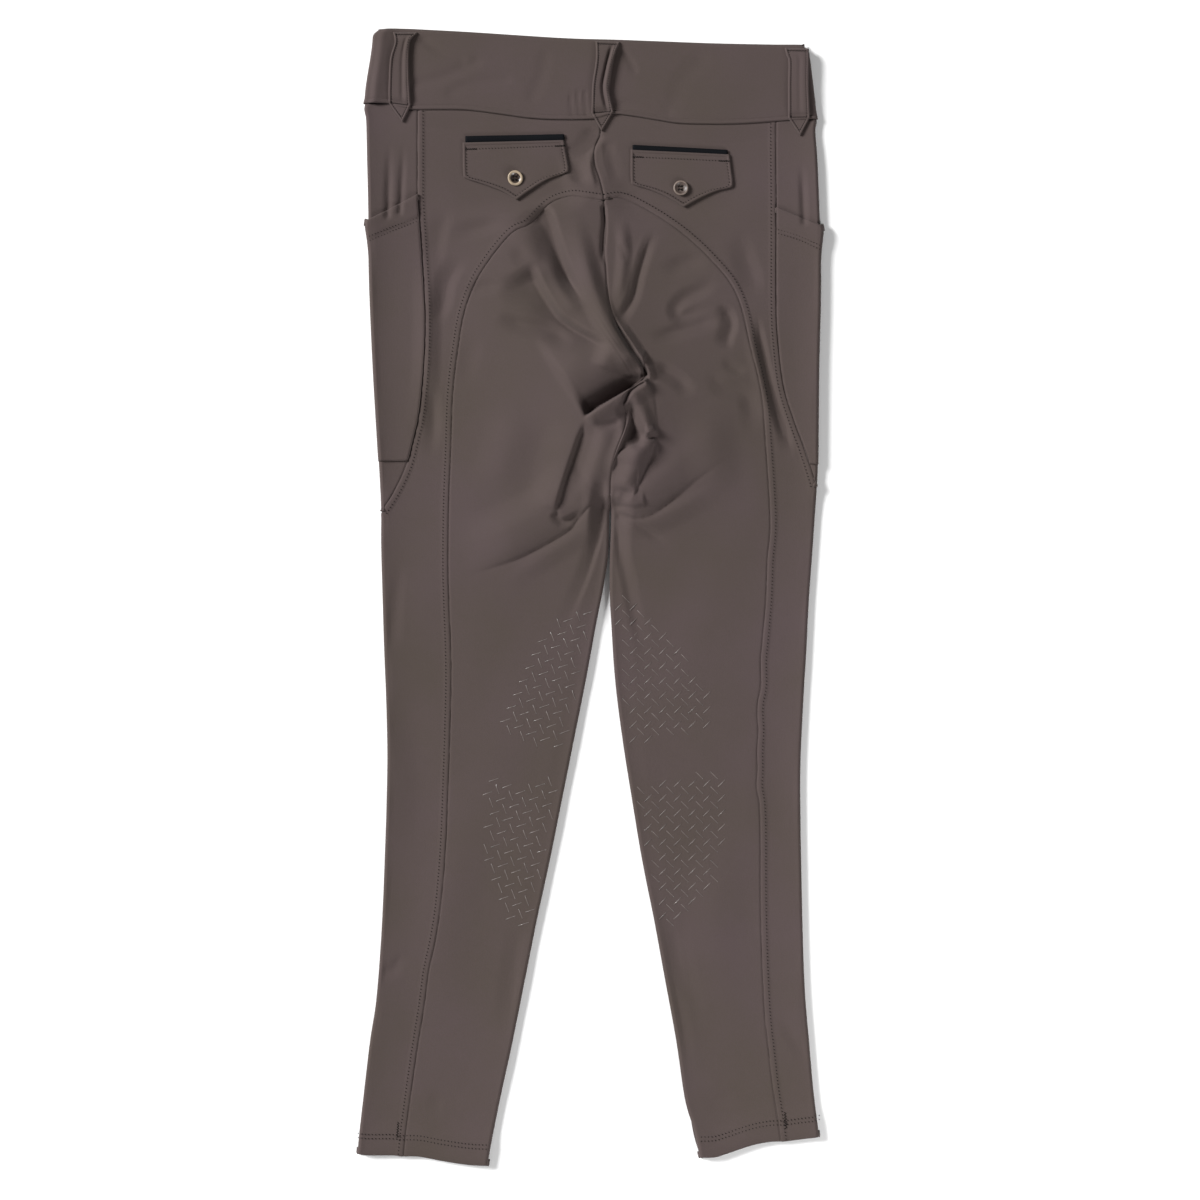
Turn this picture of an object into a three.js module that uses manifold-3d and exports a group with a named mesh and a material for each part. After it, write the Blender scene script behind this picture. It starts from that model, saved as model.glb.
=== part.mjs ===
// Riding breeches, laid flat on their front with the seat up. Millimetres, +Z up, +Y towards the waist.
// The origin is under the middle of the garment's box.
// Left and right are the wearer's, which is also how they lie.
// Each leg is one flattened tube of cloth: a front panel flat on the table, and an upper sheet that turns
// round the tube's edges and is cut along the seams into side panel, hip panel and seat panel.

import * as THREE from 'three';
import { mergeVertices } from 'three/addons/utils/BufferGeometryUtils.js';
import Module from 'manifold-3d';

const wasm = await Module();
wasm.setup();

// Driving dimensions
const CLOTH = 1.2; // one layer of the stretch cloth
const GAP = 0.3; // between pieces that are sewn together or lie on each other
const ROLL_RADIUS = 2.8; // outside of the turn where the cloth goes round the edge of a leg
const LIP = 3; // how far the upper sheet reaches under the garment past that turn
const REST_TOP = 3.4; // top of the upper layer where it lies slack on the lower one
const SLACK_REACH = 16; // how fast the cloth sinks from the turn to that height
const HEM_DEPTH = 18;
const HEM_CLOTH = 2.1; // a turned hem is two layers
const BAND_CLOTH = 2.2; // the waistband is two layers
const BAND_ROLL_RADIUS = 3.3;
const BAND_TOP = 5.2;
const WAIST_CLOTH_TOP = 4.4; // the cloth rises to this at the waist seam
const WAIST_REACH = 16;
const POCKET_STEP = CLOTH + GAP + 0.1; // a side pocket lies this far outside its panel
const ORIGIN = { x: 0.28, y: -0.68 }; // middle of the garment's box in the layout's own numbers

// Edges of the garment as it lies, x at each height y
const OUTER_EDGE = [
  { y: 414, left: -187.0, right: 190.5 },
  { y: 366, left: -186.8, right: 191.8 },
  { y: 324, left: -186.2, right: 192.0 },
  { y: 282, left: -183.8, right: 192.2 },
  { y: 219, left: -181.2, right: 191.4 },
  { y: 160, left: -178.6, right: 190.6 },
  { y: 113, left: -176.4, right: 190.0 },
  { y: 72, left: -175.6, right: 189.4 },
  { y: 30, left: -175.6, right: 186.0 },
  { y: -20, left: -173.9, right: 183.0 },
  { y: -70, left: -172.2, right: 180.4 },
  { y: -121, left: -170.6, right: 177.3 },
  { y: -171, left: -171.2, right: 176.4 },
  { y: -222, left: -172.3, right: 177.3 },
  { y: -272, left: -174.9, right: 178.6 },
  { y: -323, left: -178.1, right: 179.8 },
  { y: -373, left: -184.8, right: 184.0 },
  { y: -423, left: -190.7, right: 189.5 },
  { y: -465, left: -195.3, right: 194.6 },
];
const INNER_EDGE = [
  { y: 79, left: 16.9, right: 17.9 },
  { y: 34, left: 15.6, right: 16.8 },
  { y: 5, left: 10.9, right: 16.2 },
  { y: -20, left: 5.9, right: 16.8 },
  { y: -71, left: -3.4, right: 21.0 },
  { y: -121, left: -13.4, right: 27.7 },
  { y: -171, left: -23.5, right: 35.3 },
  { y: -222, left: -33.6, right: 43.7 },
  { y: -272, left: -44.5, right: 53.8 },
  { y: -323, left: -54.6, right: 63.0 },
  { y: -373, left: -64.7, right: 72.2 },
  { y: -423, left: -75.6, right: 79.8 },
  { y: -477, left: -85.4, right: 92.5 },
];
// The centre back seam, which wanders into the folds of the seat on its way to the crotch
const CENTRE_BACK = [
  { y: 404, x: 10.1 },
  { y: 375, x: 5.9 },
  { y: 333, x: 10.9 },
  { y: 295, x: 15.5 },
  { y: 261, x: 15.1 },
  { y: 230, x: 25.2 },
  { y: 206, x: 36.0 },
  { y: 183, x: 46.5 },
  { y: 168, x: 34.0 },
  { y: 150, x: 30.0 },
  { y: 116, x: 21.0 },
  { y: 79, x: 17.4 },
];
const CROTCH_Y = 79;

// Seam under the waistband and the waistband's top edge, y at each x
const WAIST_SEAM = [
  { x: -192, y: 413 },
  { x: -170, y: 413.5 },
  { x: -148, y: 408.5 },
  { x: -103, y: 408 },
  { x: -50, y: 401.5 },
  { x: 0, y: 400.5 },
  { x: 14, y: 403 },
  { x: 36, y: 403 },
  { x: 80, y: 396.5 },
  { x: 122, y: 396.5 },
  { x: 165, y: 399 },
  { x: 194, y: 400 },
];
const WAIST_TOP = [
  { x: -192, y: 473.5 },
  { x: -156, y: 475.7 },
  { x: -103, y: 473.1 },
  { x: -23, y: 467.9 },
  { x: 31, y: 466.4 },
  { x: 112, y: 463.2 },
  { x: 176, y: 462 },
  { x: 194, y: 460.5 },
];
const BAND_EDGE = { bottom: { left: -189.6, right: 190.6 }, top: { left: -182.2, right: 184.2 } };

// Where each leg starts and ends: y at its outer and inner edge
const SIDES = [
  { name: 'left', sign: -1, waist: { outer: 413, inner: 401.5 }, hem: { outer: -465, inner: -477 } },
  { name: 'right', sign: 1, waist: { outer: 400, inner: 402.5 }, hem: { outer: -449, inner: -471 } },
];

// Seams of the upper sheet, from the top down. The side seam ends past the outer edge.
const SIDE_SEAM = {
  left: [
    { x: -148.4, y: 420 },
    { x: -147.6, y: 400 },
    { x: -143.8, y: 335 },
    { x: -139.8, y: 260 },
    { x: -138.8, y: 227 },
    { x: -139.8, y: 195 },
    { x: -143.8, y: 154 },
    { x: -154.0, y: 111 },
    { x: -163.8, y: 89 },
    { x: -175.6, y: 71 },
    { x: -187.0, y: 57 },
  ],
  right: [
    { x: 157.4, y: 420 },
    { x: 157.1, y: 397 },
    { x: 156.6, y: 323 },
    { x: 156.6, y: 248 },
    { x: 157.6, y: 219 },
    { x: 162.6, y: 176 },
    { x: 171.8, y: 146 },
    { x: 185.0, y: 109 },
    { x: 190.7, y: 91 },
    { x: 200.0, y: 70 },
  ],
};
// The seat seam leaves the centre back, rounds the seat and runs down to the hem
const SEAT_SEAM = {
  left: [
    { x: 24.0, y: 331 },
    { x: 10.9, y: 333 },
    { x: -14.3, y: 336.5 },
    { x: -33.6, y: 330 },
    { x: -52.9, y: 310 },
    { x: -70.8, y: 299 },
    { x: -84.9, y: 281 },
    { x: -97.8, y: 260 },
    { x: -105.5, y: 238 },
    { x: -110.6, y: 208 },
    { x: -116.8, y: 148 },
    { x: -119.1, y: 30 },
    { x: -116.1, y: -86 },
    { x: -120.5, y: -171 },
    { x: -124.8, y: -255 },
    { x: -135.4, y: -315 },
    { x: -145.5, y: -383 },
    { x: -157.5, y: -469 },
    { x: -159.5, y: -484 },
  ],
  right: [
    { x: 0.0, y: 332 },
    { x: 10.9, y: 333 },
    { x: 25.2, y: 334.5 },
    { x: 37.8, y: 330 },
    { x: 57.1, y: 319 },
    { x: 76.4, y: 306 },
    { x: 105.0, y: 279 },
    { x: 122.6, y: 254 },
    { x: 134.4, y: 211 },
    { x: 146.7, y: 148 },
    { x: 151.5, y: 65 },
    { x: 148.7, y: -3 },
    { x: 143.1, y: -56 },
    { x: 140.4, y: -138 },
    { x: 143.1, y: -188 },
    { x: 144.7, y: -308 },
    { x: 150.8, y: -383 },
    { x: 161.3, y: -456 },
    { x: 166.0, y: -486 },
  ],
};

// Top and bottom edge of each side pocket: y at the side seam and at the outer edge
const SIDE_POCKET = {
  left: { seamX: -145, topAtSeam: 336, topAtEdge: 317, bottom: 113 },
  right: { seamX: 157, topAtSeam: 325, topAtEdge: 311, bottom: 111 },
};
const POCKET_FLARE = { out: 2.4, reach: 26 }; // the pocket's mouth stands off the side

// Broad swellings of the seat cloth: centre, half size across and along, height
const SWELLS = [
  { x: -48, y: 175, across: 74, along: 120, height: 6.0 },
  { x: 92, y: 165, across: 60, along: 118, height: 5.5 },
  { x: 20, y: 147, across: 48, along: 84, height: 9.5 },
  { x: -8, y: 300, across: 34, along: 52, height: 4.0 },
  { x: -70, y: -60, across: 60, along: 190, height: 1.6 },
  { x: 85, y: -60, across: 55, along: 190, height: 1.6 },
];
// The largest folds: a line on the cloth, its height, and how far it spreads to the left and right of its way
const FOLDS = [
  { name: 'tent', from: [18, 262], bend: [28, 216], to: [47, 183], height: 9, left: 26, right: 9 },
  { name: 'brow', from: [47, 181], bend: [24, 160], to: [-5, 149], height: 8, left: 7, right: 9 },
  { name: 'left_flap', from: [-5, 149], bend: [-14, 108], to: [-28, 66], height: 7, left: 24, right: 7 },
  { name: 'tongue', from: [46, 180], bend: [50, 160], to: [54, 135], height: 6, left: 8, right: 12 },
  { name: 'right_flap', from: [54, 133], bend: [42, 104], to: [38, 84], height: 6, left: 12, right: 14 },
  { name: 'hollow', from: [2, 196], bend: [8, 178], to: [12, 166], height: -12, left: 15, right: 13 },
  { name: 'seat_slant', from: [-47, 266], bend: [-20, 226], to: [22, 200], height: -4.5, left: 12, right: 14 },
  { name: 'seat_ditch', from: [-33, 307], bend: [-22, 270], to: [-4, 246], height: -5, left: 10, right: 12 },
  { name: 'right_ditch', from: [56, 306], bend: [42, 270], to: [26, 229], height: -4.5, left: 12, right: 10 },
  { name: 'right_sweep', from: [46, 76], bend: [76, 92], to: [110, 118], height: -4.5, left: 10, right: 12 },
  { name: 'left_sweep', from: [-2, 76], bend: [-24, 56], to: [-64, 34], height: -4.5, left: 11, right: 12 },
  { name: 'hip_ditch', from: [141, 234], bend: [150, 176], to: [168, 130], height: -3.5, left: 8, right: 8 },
];

// Pieces on the back
const CALM = [
  { x: -62.5, y: 364, across: 50, along: 36 },
  { x: 77.5, y: 358, across: 50, along: 36 },
]; // the cloth lies level under the two flap pockets
const FLAP_CLOTH = 2.0;
const FLAP = { width: 88, side: 30, point: 49, corner: 4 };
const WELT = { width: 82, height: 4.6, cloth: 1.6 };
const BACK_POCKET = {
  left: { x: -62.6, y: 382.0, turn: 0.02 },
  right: { x: 77.4, y: 375.6, turn: -0.045 },
};
const BUTTON = { radius: 6.4, rim: 1.3, dish: 1.5, height: 2.6, hole: 0.9, pitch: 2.9, drop: 31.5 };
const LOOP = { width: 18.6, cloth: 1.6, bulge: 1.6 };
// Belt loops: middle of the strip at its top and at the waist seam, and the tip below the seam
const LOOPS = [
  { name: 'belt_loop_left', top: [-155.5, 471], seam: [-159.5, 413.5], tip: [-157.3, 398] },
  { name: 'belt_loop_centre', top: [14.6, 464], seam: [10.0, 405.5], tip: [9.7, 390.5] },
  { name: 'belt_loop_right', top: [172.5, 458.5], seam: [175.8, 401], tip: [176.1, 386.5] },
];

// Numbers
const mix = (a, b, t) => a + (b - a) * t;
const clamp = (v) => Math.min(1, Math.max(0, v));
const smooth = (v) => clamp(v) ** 2 * (3 - 2 * clamp(v));
const hump = (v) => (Math.abs(v) < 1 ? (1 + Math.cos(Math.PI * v)) / 2 : 0);

// Smooth curve through the rows of a table: the value of one column at a place along another
function along(table, key, column) {
  const rows = [...table].sort((a, b) => a[key] - b[key]);
  return (at) => {
    const v = Math.min(rows.at(-1)[key], Math.max(rows[0][key], at));
    const k = Math.max(0, rows.findLastIndex((r, n) => r[key] <= v && n < rows.length - 1));
    const [b, c] = [rows[k], rows[k + 1]];
    const a = rows[Math.max(0, k - 1)];
    const d = rows[Math.min(rows.length - 1, k + 2)];
    const t = (v - b[key]) / (c[key] - b[key]);
    const slopeIn = (c[column] - a[column]) / (c[key] - a[key]) * (c[key] - b[key]);
    const slopeOut = (d[column] - b[column]) / (d[key] - b[key]) * (c[key] - b[key]);
    return mix(b[column], c[column], smooth(t)) + slopeIn * t * (1 - t) ** 2 - slopeOut * t * t * (1 - t);
  };
}
const outerX = { left: along(OUTER_EDGE, 'y', 'left'), right: along(OUTER_EDGE, 'y', 'right') };
const innerX = { left: along(INNER_EDGE, 'y', 'left'), right: along(INNER_EDGE, 'y', 'right') };
const centreX = along(CENTRE_BACK, 'y', 'x');
const waistSeamY = along(WAIST_SEAM, 'x', 'y');
const waistTopY = along(WAIST_TOP, 'x', 'y');

// Distance to a fold's bent line, positive on its right when looking from its start to its end
function foldOffset(fold, x, y) {
  const points = [fold.from, fold.bend, fold.to];
  let best = { distance: Infinity };
  for (const n of [0, 1]) {
    const [[ax, ay], [bx, by]] = [points[n], points[n + 1]];
    const [dx, dy] = [bx - ax, by - ay];
    const length = Math.hypot(dx, dy);
    const t = clamp(((x - ax) * dx + (y - ay) * dy) / length ** 2);
    const [ex, ey] = [x - ax - dx * t, y - ay - dy * t];
    const distance = Math.hypot(ex, ey);
    if (distance < best.distance) best = { distance, right: ex * dy - ey * dx > 0, share: (n + t) / 2 };
  }
  return best;
}

function foldHeight(fold, x, y) {
  const { distance, right, share } = foldOffset(fold, x, y);
  const fade = 0.55 + 0.45 * Math.sin(Math.PI * share);
  return fold.height * fade * hump(distance / (right ? fold.right : fold.left));
}

// How far the folds lift the cloth above its rest height
function lift(x, y) {
  const swell = SWELLS.reduce(
    (sum, s) => sum + s.height * Math.exp(-(((x - s.x) / s.across) ** 2) - ((y - s.y) / s.along) ** 2),
    0,
  );
  const calm = CALM.reduce((least, c) => {
    const from = Math.max(Math.abs(x - c.x) / c.across, Math.abs(y - c.y) / c.along);
    return Math.min(least, smooth(from - 1));
  }, 1);
  const folds = FOLDS.reduce((sum, fold) => sum + foldHeight(fold, x, y), 0);
  return Math.max(0, swell + folds) * calm;
}

// Extra height of the turned edge where a side pocket will lie outside the panel
const edgeRaise = (y) => POCKET_STEP * smooth((y - 60) / 50) * smooth((410 - y) / 55);

// Height of the upper sheet's right side
function clothTop(side, x, y) {
  const toOuter = Math.max(0, side.sign * (outerX[side.name](y) - x) - ROLL_RADIUS);
  const toInner = Math.max(0, side.sign * (x - innerX[side.name](y)) - ROLL_RADIUS);
  const leg = smooth((CROTCH_Y + 6 - y) / 12);
  const hemRise = smooth((side.hem.outer + 45 - y) / 30);
  const rest = mix(REST_TOP, HEM_CLOTH * 2 + 0.6, hemRise);
  const edge = 2 * ROLL_RADIUS - rest;
  const outerRise = (edge + edgeRaise(y)) * Math.exp(-toOuter / SLACK_REACH);
  const sides = outerRise + leg * edge * Math.exp(-toInner / SLACK_REACH);
  const free = smooth(toOuter / 34) * mix(1, smooth(toInner / 22), leg) * smooth((waistSeamY(x) - y) / 40);
  const waist = (WAIST_CLOTH_TOP - rest) * clamp(1 - (waistSeamY(x) - y) / WAIST_REACH);
  return rest + Math.max(sides, waist) + free * lift(x, y) * (1 - hemRise);
}

// How much longer a layer's thickness is straight down where the cloth slopes
function slopeStretch(side, x, y) {
  const step = 1;
  const across = (clothTop(side, x + step, y) - clothTop(side, x - step, y)) / (2 * step);
  const down = (clothTop(side, x, y + step) - clothTop(side, x, y - step)) / (2 * step);
  return Math.min(1.6, Math.hypot(1, across, down));
}

// Solids
function manifoldOf(points, triangles) {
  const vertProperties = new Float32Array(points.flat());
  const make = (triVerts) => new wasm.Manifold(new wasm.Mesh({ numProp: 3, vertProperties, triVerts }));
  const solid = make(new Uint32Array(triangles));
  return solid.volume() > 0 ? solid : make(new Uint32Array(triangles.reverse()));
}

// A cloth wall through sections, each with the points of its right side and of its wrong side
function clothWall(sections, ring = false) {
  const n = sections[0].face.length;
  const points = sections.flatMap(({ face, back }) => [...face, ...back]);
  const triangles = [];
  const quad = (a, b, c, d) => triangles.push(a, b, c, a, c, d);
  const at = (row, back, i) => row * 2 * n + back * n + (i % n);
  const spans = ring ? n : n - 1;
  const last = sections.length - 1;
  for (let row = 0; row < last; row += 1) {
    for (let i = 0; i < spans; i += 1) {
      quad(at(row, 0, i), at(row, 0, i + 1), at(row + 1, 0, i + 1), at(row + 1, 0, i));
      quad(at(row, 1, i), at(row + 1, 1, i), at(row + 1, 1, i + 1), at(row, 1, i + 1));
    }
    if (!ring) {
      quad(at(row, 1, 0), at(row, 0, 0), at(row + 1, 0, 0), at(row + 1, 1, 0));
      quad(at(row, 0, n - 1), at(row, 1, n - 1), at(row + 1, 1, n - 1), at(row + 1, 0, n - 1));
    }
  }
  for (let i = 0; i < spans; i += 1) {
    quad(at(0, 0, i), at(0, 1, i), at(0, 1, i + 1), at(0, 0, i + 1));
    quad(at(last, 0, i + 1), at(last, 1, i + 1), at(last, 1, i), at(last, 0, i));
  }
  return manifoldOf(points, triangles);
}

function manifoldFrom(geometry) {
  const bare = geometry.clone();
  bare.deleteAttribute('normal');
  bare.deleteAttribute('uv');
  const merged = mergeVertices(bare, 1e-4);
  return new wasm.Manifold(
    new wasm.Mesh({
      numProp: 3,
      vertProperties: new Float32Array(merged.attributes.position.array),
      triVerts: new Uint32Array(merged.index.array),
    }),
  );
}

function geometryOf(solid) {
  const mesh = solid.getMesh();
  return new THREE.BufferGeometry()
    .setAttribute('position', new THREE.BufferAttribute(new Float32Array(mesh.vertProperties), 3))
    .setIndex(new THREE.BufferAttribute(new Uint32Array(mesh.triVerts), 1));
}

// A plate with an outline seen from above, from one height to another
function plate(outline, low, high) {
  const shape = new THREE.Shape(outline.map(([x, y]) => new THREE.Vector2(x, y)));
  const geometry = new THREE.ExtrudeGeometry(shape, { depth: high - low, bevelEnabled: false });
  return manifoldFrom(geometry.translate(0, 0, low));
}

// A block with an outline seen from above that reaches through the whole garment
const FAR = 400;
const BEYOND = 600;
const THROUGH = { low: -5, high: 60 };
const through = (outline) => plate(outline, THROUGH.low, THROUGH.high);

// Points along a seam, moved sideways by an offset
const SEAM_STEP = 9;
function seamLine(seam, offset) {
  const points = seam.map(({ x, y }) => new THREE.Vector3(x, y, 0));
  const curve = new THREE.CatmullRomCurve3(points, false, 'centripetal');
  const steps = Math.round(curve.getLength() / SEAM_STEP);
  return Array.from({ length: steps + 1 }, (_, n) => {
    const point = curve.getPointAt(n / steps);
    const way = curve.getTangentAt(n / steps);
    return [point.x - way.y * offset, point.y + way.x * offset];
  });
}

// All that lies on the outer side of a seam, as a tall block that cuts the sheet
function outsideOf(side, seam, offset) {
  const line = seamLine(seam, offset * side.sign);
  const far = side.sign * FAR;
  return through([...line, [far, line.at(-1)[1]], [far, BEYOND], [line[0][0], BEYOND]]);
}

const TRIM = 3; // cloth that is cut off along the waist seam
const WAIST_CUT = { half: 210, steps: 28 };
function waistLine(offset) {
  return Array.from({ length: WAIST_CUT.steps + 1 }, (_, n) => {
    const x = mix(-WAIST_CUT.half, WAIST_CUT.half, n / WAIST_CUT.steps);
    return [x, waistSeamY(x) + offset];
  });
}
const belowWaist = through([...waistLine(-GAP / 2), [WAIST_CUT.half, -BEYOND], [-WAIST_CUT.half, -BEYOND]]);
const aboveWaist = through([
  ...waistLine(GAP / 2).reverse(),
  [-WAIST_CUT.half, BEYOND],
  [WAIST_CUT.half, BEYOND],
]);

// The two legs' sheets end along the centre back seam
const centreSeam = [{ x: 10.1, y: 420 }, ...CENTRE_BACK, { x: 17.4, y: CROTCH_Y - 9 }];
function besideCentre(side) {
  const line = seamLine(centreSeam, (side.sign * GAP) / 2);
  const far = side.sign * FAR;
  const [[topX], [, lowY]] = [line[0], line.at(-1)];
  return through([...line, [-far, lowY], [-far, -BEYOND], [far, -BEYOND], [far, BEYOND], [topX, BEYOND]]);
}

// Rows of the upper sheet, as distances below the waist seam at the middle of the sheet
const ROW_ZONES = [
  { from: -TRIM, to: WAIST_REACH, step: 10 },
  { from: WAIST_REACH, to: 150, step: 27 },
  { from: 150, to: 317, step: 12 },
  { from: 329, to: 376, step: 15 },
  { from: 376, to: 841, step: 42 },
];
const COLUMNS = 14;
const ROLL_STEPS = 4;
const ARM_START = 4; // the first points next to the centre seam share this width
const CROTCH_TURN = 4; // over this length the sheet starts to turn round the inner edge of the leg

function rowsOf(side) {
  const length = (side.waist.outer + side.waist.inner - side.hem.outer - side.hem.inner) / 2;
  const depths = ROW_ZONES.flatMap(({ from, to, step }) => {
    const count = Math.round((to - from) / step);
    return Array.from({ length: count }, (_, n) => mix(from, to, n / count));
  });
  const crotch = ((side.waist.inner - CROTCH_Y) / (side.waist.inner - side.hem.inner)) * length;
  const ends = [crotch, crotch + CROTCH_TURN, length - HEM_DEPTH, length - HEM_DEPTH + 0.5, length];
  return [...depths, ...ends].sort((a, b) => a - b).map((depth) => {
    const share = depth / length;
    const outerY = mix(side.waist.outer, side.hem.outer, share);
    const innerY = mix(side.waist.inner, side.hem.inner, share);
    const cloth = depth > length - HEM_DEPTH ? HEM_CLOTH : CLOTH;
    return { outerY, innerY, share, leg: depth > crotch, cloth };
  });
}

// One row of the upper sheet, from the centre seam or the inner edge out to the lip under the outer edge.
// A layer that lies outside the first is moved out by that much.
function sheetSection(side, row, out = 0, flare = 0) {
  const { sign, name } = side;
  const [face, back] = [[], []];
  const fade = smooth(1 - row.share * 10);
  // The rows bend to follow the waist seam near the waist
  const bent = (x, share) => {
    const straight = mix(side.waist.inner, side.waist.outer, share);
    return mix(row.innerY, row.outerY, share) + (waistSeamY(x) - straight) * fade;
  };
  const put = (x, share, z, backX, backZ) => {
    face.push([x, bent(x, share), z]);
    back.push([backX, bent(backX, share), backZ]);
  };
  const lay = (x, share) => {
    const y = bent(x, share);
    const stretch = slopeStretch(side, x, y);
    const z = clothTop(side, x, y) + out * stretch;
    put(x, share, z, x, Math.max(z - row.cloth * stretch, row.cloth + GAP));
  };
  const turn = (edgeX, away, share, angles, raise) => {
    const radius = ROLL_RADIUS + out;
    const thin = radius - row.cloth;
    const centre = edgeX - away * ROLL_RADIUS;
    const middle = ROLL_RADIUS + raise;
    const lip = () => put(centre - away * LIP, share, middle - radius, centre - away * LIP, middle - thin);
    if (angles[0] < 0) lip();
    angles.forEach((angle) => {
      const [c, s] = [away * Math.cos(angle), Math.sin(angle)];
      put(centre + radius * c, share, middle + radius * s, centre + thin * c, middle + thin * s);
    });
    if (angles[0] > 0) lip();
  };
  const angles = Array.from({ length: ROLL_STEPS + 1 }, (_, n) => Math.PI * (0.5 - n / ROLL_STEPS));
  const edgeX = outerX[name](row.outerY) + sign * flare;
  let start;
  if (row.leg) {
    const innerEdge = innerX[name](row.innerY);
    turn(innerEdge, -sign, 0, [...angles].reverse(), 0);
    start = innerEdge + sign * ROLL_RADIUS;
  } else {
    const centre = centreX(row.innerY) - sign * TRIM;
    const count = ROLL_STEPS + 2;
    for (let n = 0; n < count; n += 1) lay(centre + (sign * ARM_START * n) / (count - 1), 0);
    start = centre + sign * ARM_START;
  }
  const end = edgeX - sign * ROLL_RADIUS;
  for (let n = 1; n < COLUMNS; n += 1) {
    const share = (n / COLUMNS) ** 1.25;
    lay(mix(start, end, share), share);
  }
  turn(edgeX, sign, 1, angles, edgeRaise(row.outerY));
  return { face, back };
}

function sheetOf(side) {
  const wall = clothWall(rowsOf(side).map((row) => sheetSection(side, row)));
  return wall.intersect(belowWaist).intersect(besideCentre(side));
}

// The side pocket is the same sheet one layer further out, cut to the pocket's outline
function sidePocketOf(side) {
  const pocket = SIDE_POCKET[side.name];
  const [low, high] = [pocket.bottom - 30, pocket.topAtSeam + 40];
  const rows = rowsOf(side).filter(({ outerY }) => outerY > low && outerY < high);
  const flare = (y) => POCKET_FLARE.out * hump(clamp((pocket.topAtEdge - y) / POCKET_FLARE.reach));
  const layer = clothWall(rows.map((row) => sheetSection(side, row, POCKET_STEP, flare(row.outerY))));
  const far = side.sign * FAR;
  const edge = outerX[side.name](pocket.topAtEdge);
  const slope = (pocket.topAtEdge - pocket.topAtSeam) / (edge - pocket.seamX);
  const topAt = (x) => pocket.topAtSeam + slope * (x - pocket.seamX);
  const beyond = edge + side.sign * 12;
  const outline = [
    [0, pocket.bottom],
    [far, pocket.bottom],
    [far, topAt(beyond)],
    [beyond, topAt(beyond)],
    [0, topAt(0)],
  ];
  return layer.intersect(through(outline)).intersect(outsideOf(side, SIDE_SEAM[side.name], GAP / 2));
}

// The front panel lies flat on the table, inside the lips of the upper sheet
function frontOf(side) {
  const { sign, name } = side;
  const inset = sign * (ROLL_RADIUS + LIP + GAP);
  const rows = rowsOf(side).filter((row, n, all) => n % 2 === 0 || n === all.length - 1 || row.leg);
  const outer = rows.map(({ outerY }) => [outerX[name](outerY) - inset, outerY]);
  const frontSeam = mix(centreX(404), centreX(CROTCH_Y), 0.5) + (sign * GAP) / 2;
  const inner = rows.map(({ innerY, leg }) => [leg ? innerX[name](innerY) + inset : frontSeam, innerY]);
  const waist = [];
  const steps = 12;
  for (let n = 0; n <= steps; n += 1) {
    const x = mix(inner[0][0], outer[0][0], n / steps);
    waist.push([x, waistSeamY(x) + TRIM]);
  }
  const outline = [...waist, ...outer.slice(1), ...inner.slice(1).reverse()];
  const panel = plate(outline, 0, CLOTH);
  const below = [outer.at(-1), inner.at(-1)];
  const hem = [...below, ...below.map(([x, y]) => [x, y + HEM_DEPTH]).reverse()];
  const fold = plate(hem, 0, HEM_CLOTH).intersect(plate(outline, 0, HEM_CLOTH));
  return panel.add(fold).intersect(belowWaist);
}

// The waistband is a ring of double cloth, flattened
function waistband() {
  const columns = { upper: 22, lower: 8 };
  const levels = [0, 0.12, 0.4, 0.7, 0.93, 1];
  const sections = levels.map((level) => {
    const [face, back] = [[], []];
    const rounding = 1.6 * Math.max(0, (level - 0.93) / 0.07);
    const left = mix(BAND_EDGE.bottom.left, BAND_EDGE.top.left, level) + rounding;
    const right = mix(BAND_EDGE.bottom.right, BAND_EDGE.top.right, level) - rounding;
    const yAt = (x) => mix(waistSeamY(x) - TRIM, waistTopY(x), level);
    const put = (x, z, backX, backZ) => {
      face.push([x, yAt(x), z]);
      back.push([backX, yAt(x), backZ]);
    };
    const turn = (x, away, from) => {
      for (let n = 0; n <= 5; n += 1) {
        const angle = from * (1 - (2 * n) / 5);
        const [c, s] = [away * Math.cos(angle), Math.sin(angle)];
        const centre = x - away * BAND_ROLL_RADIUS;
        const thin = BAND_ROLL_RADIUS - BAND_CLOTH;
        put(
          centre + BAND_ROLL_RADIUS * c,
          BAND_ROLL_RADIUS * (1 + s),
          centre + thin * c,
          BAND_ROLL_RADIUS + thin * s,
        );
      }
    };
    // The upper layer, the turn at the right end, the lower layer and the turn at the left end
    for (let n = 1; n < columns.upper; n += 1) {
      const x = mix(left + BAND_ROLL_RADIUS, right - BAND_ROLL_RADIUS, n / columns.upper);
      const z = bandTop(x, level);
      put(x, z, x, z - BAND_CLOTH);
    }
    turn(right, 1, Math.PI / 2);
    for (let n = 1; n < columns.lower; n += 1) {
      const x = mix(right - BAND_ROLL_RADIUS, left + BAND_ROLL_RADIUS, n / columns.lower);
      put(x, 0, x, BAND_CLOTH);
    }
    turn(left, -1, -Math.PI / 2);
    return { face, back };
  });
  return clothWall(sections, true).intersect(aboveWaist);
}

function bandTop(x, level) {
  const left = mix(BAND_EDGE.bottom.left, BAND_EDGE.top.left, level);
  const right = mix(BAND_EDGE.bottom.right, BAND_EDGE.top.right, level);
  const inside = Math.max(0, Math.min(x - left, right - x) - BAND_ROLL_RADIUS);
  return mix(2 * BAND_ROLL_RADIUS, BAND_TOP, smooth(inside / 20));
}

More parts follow.
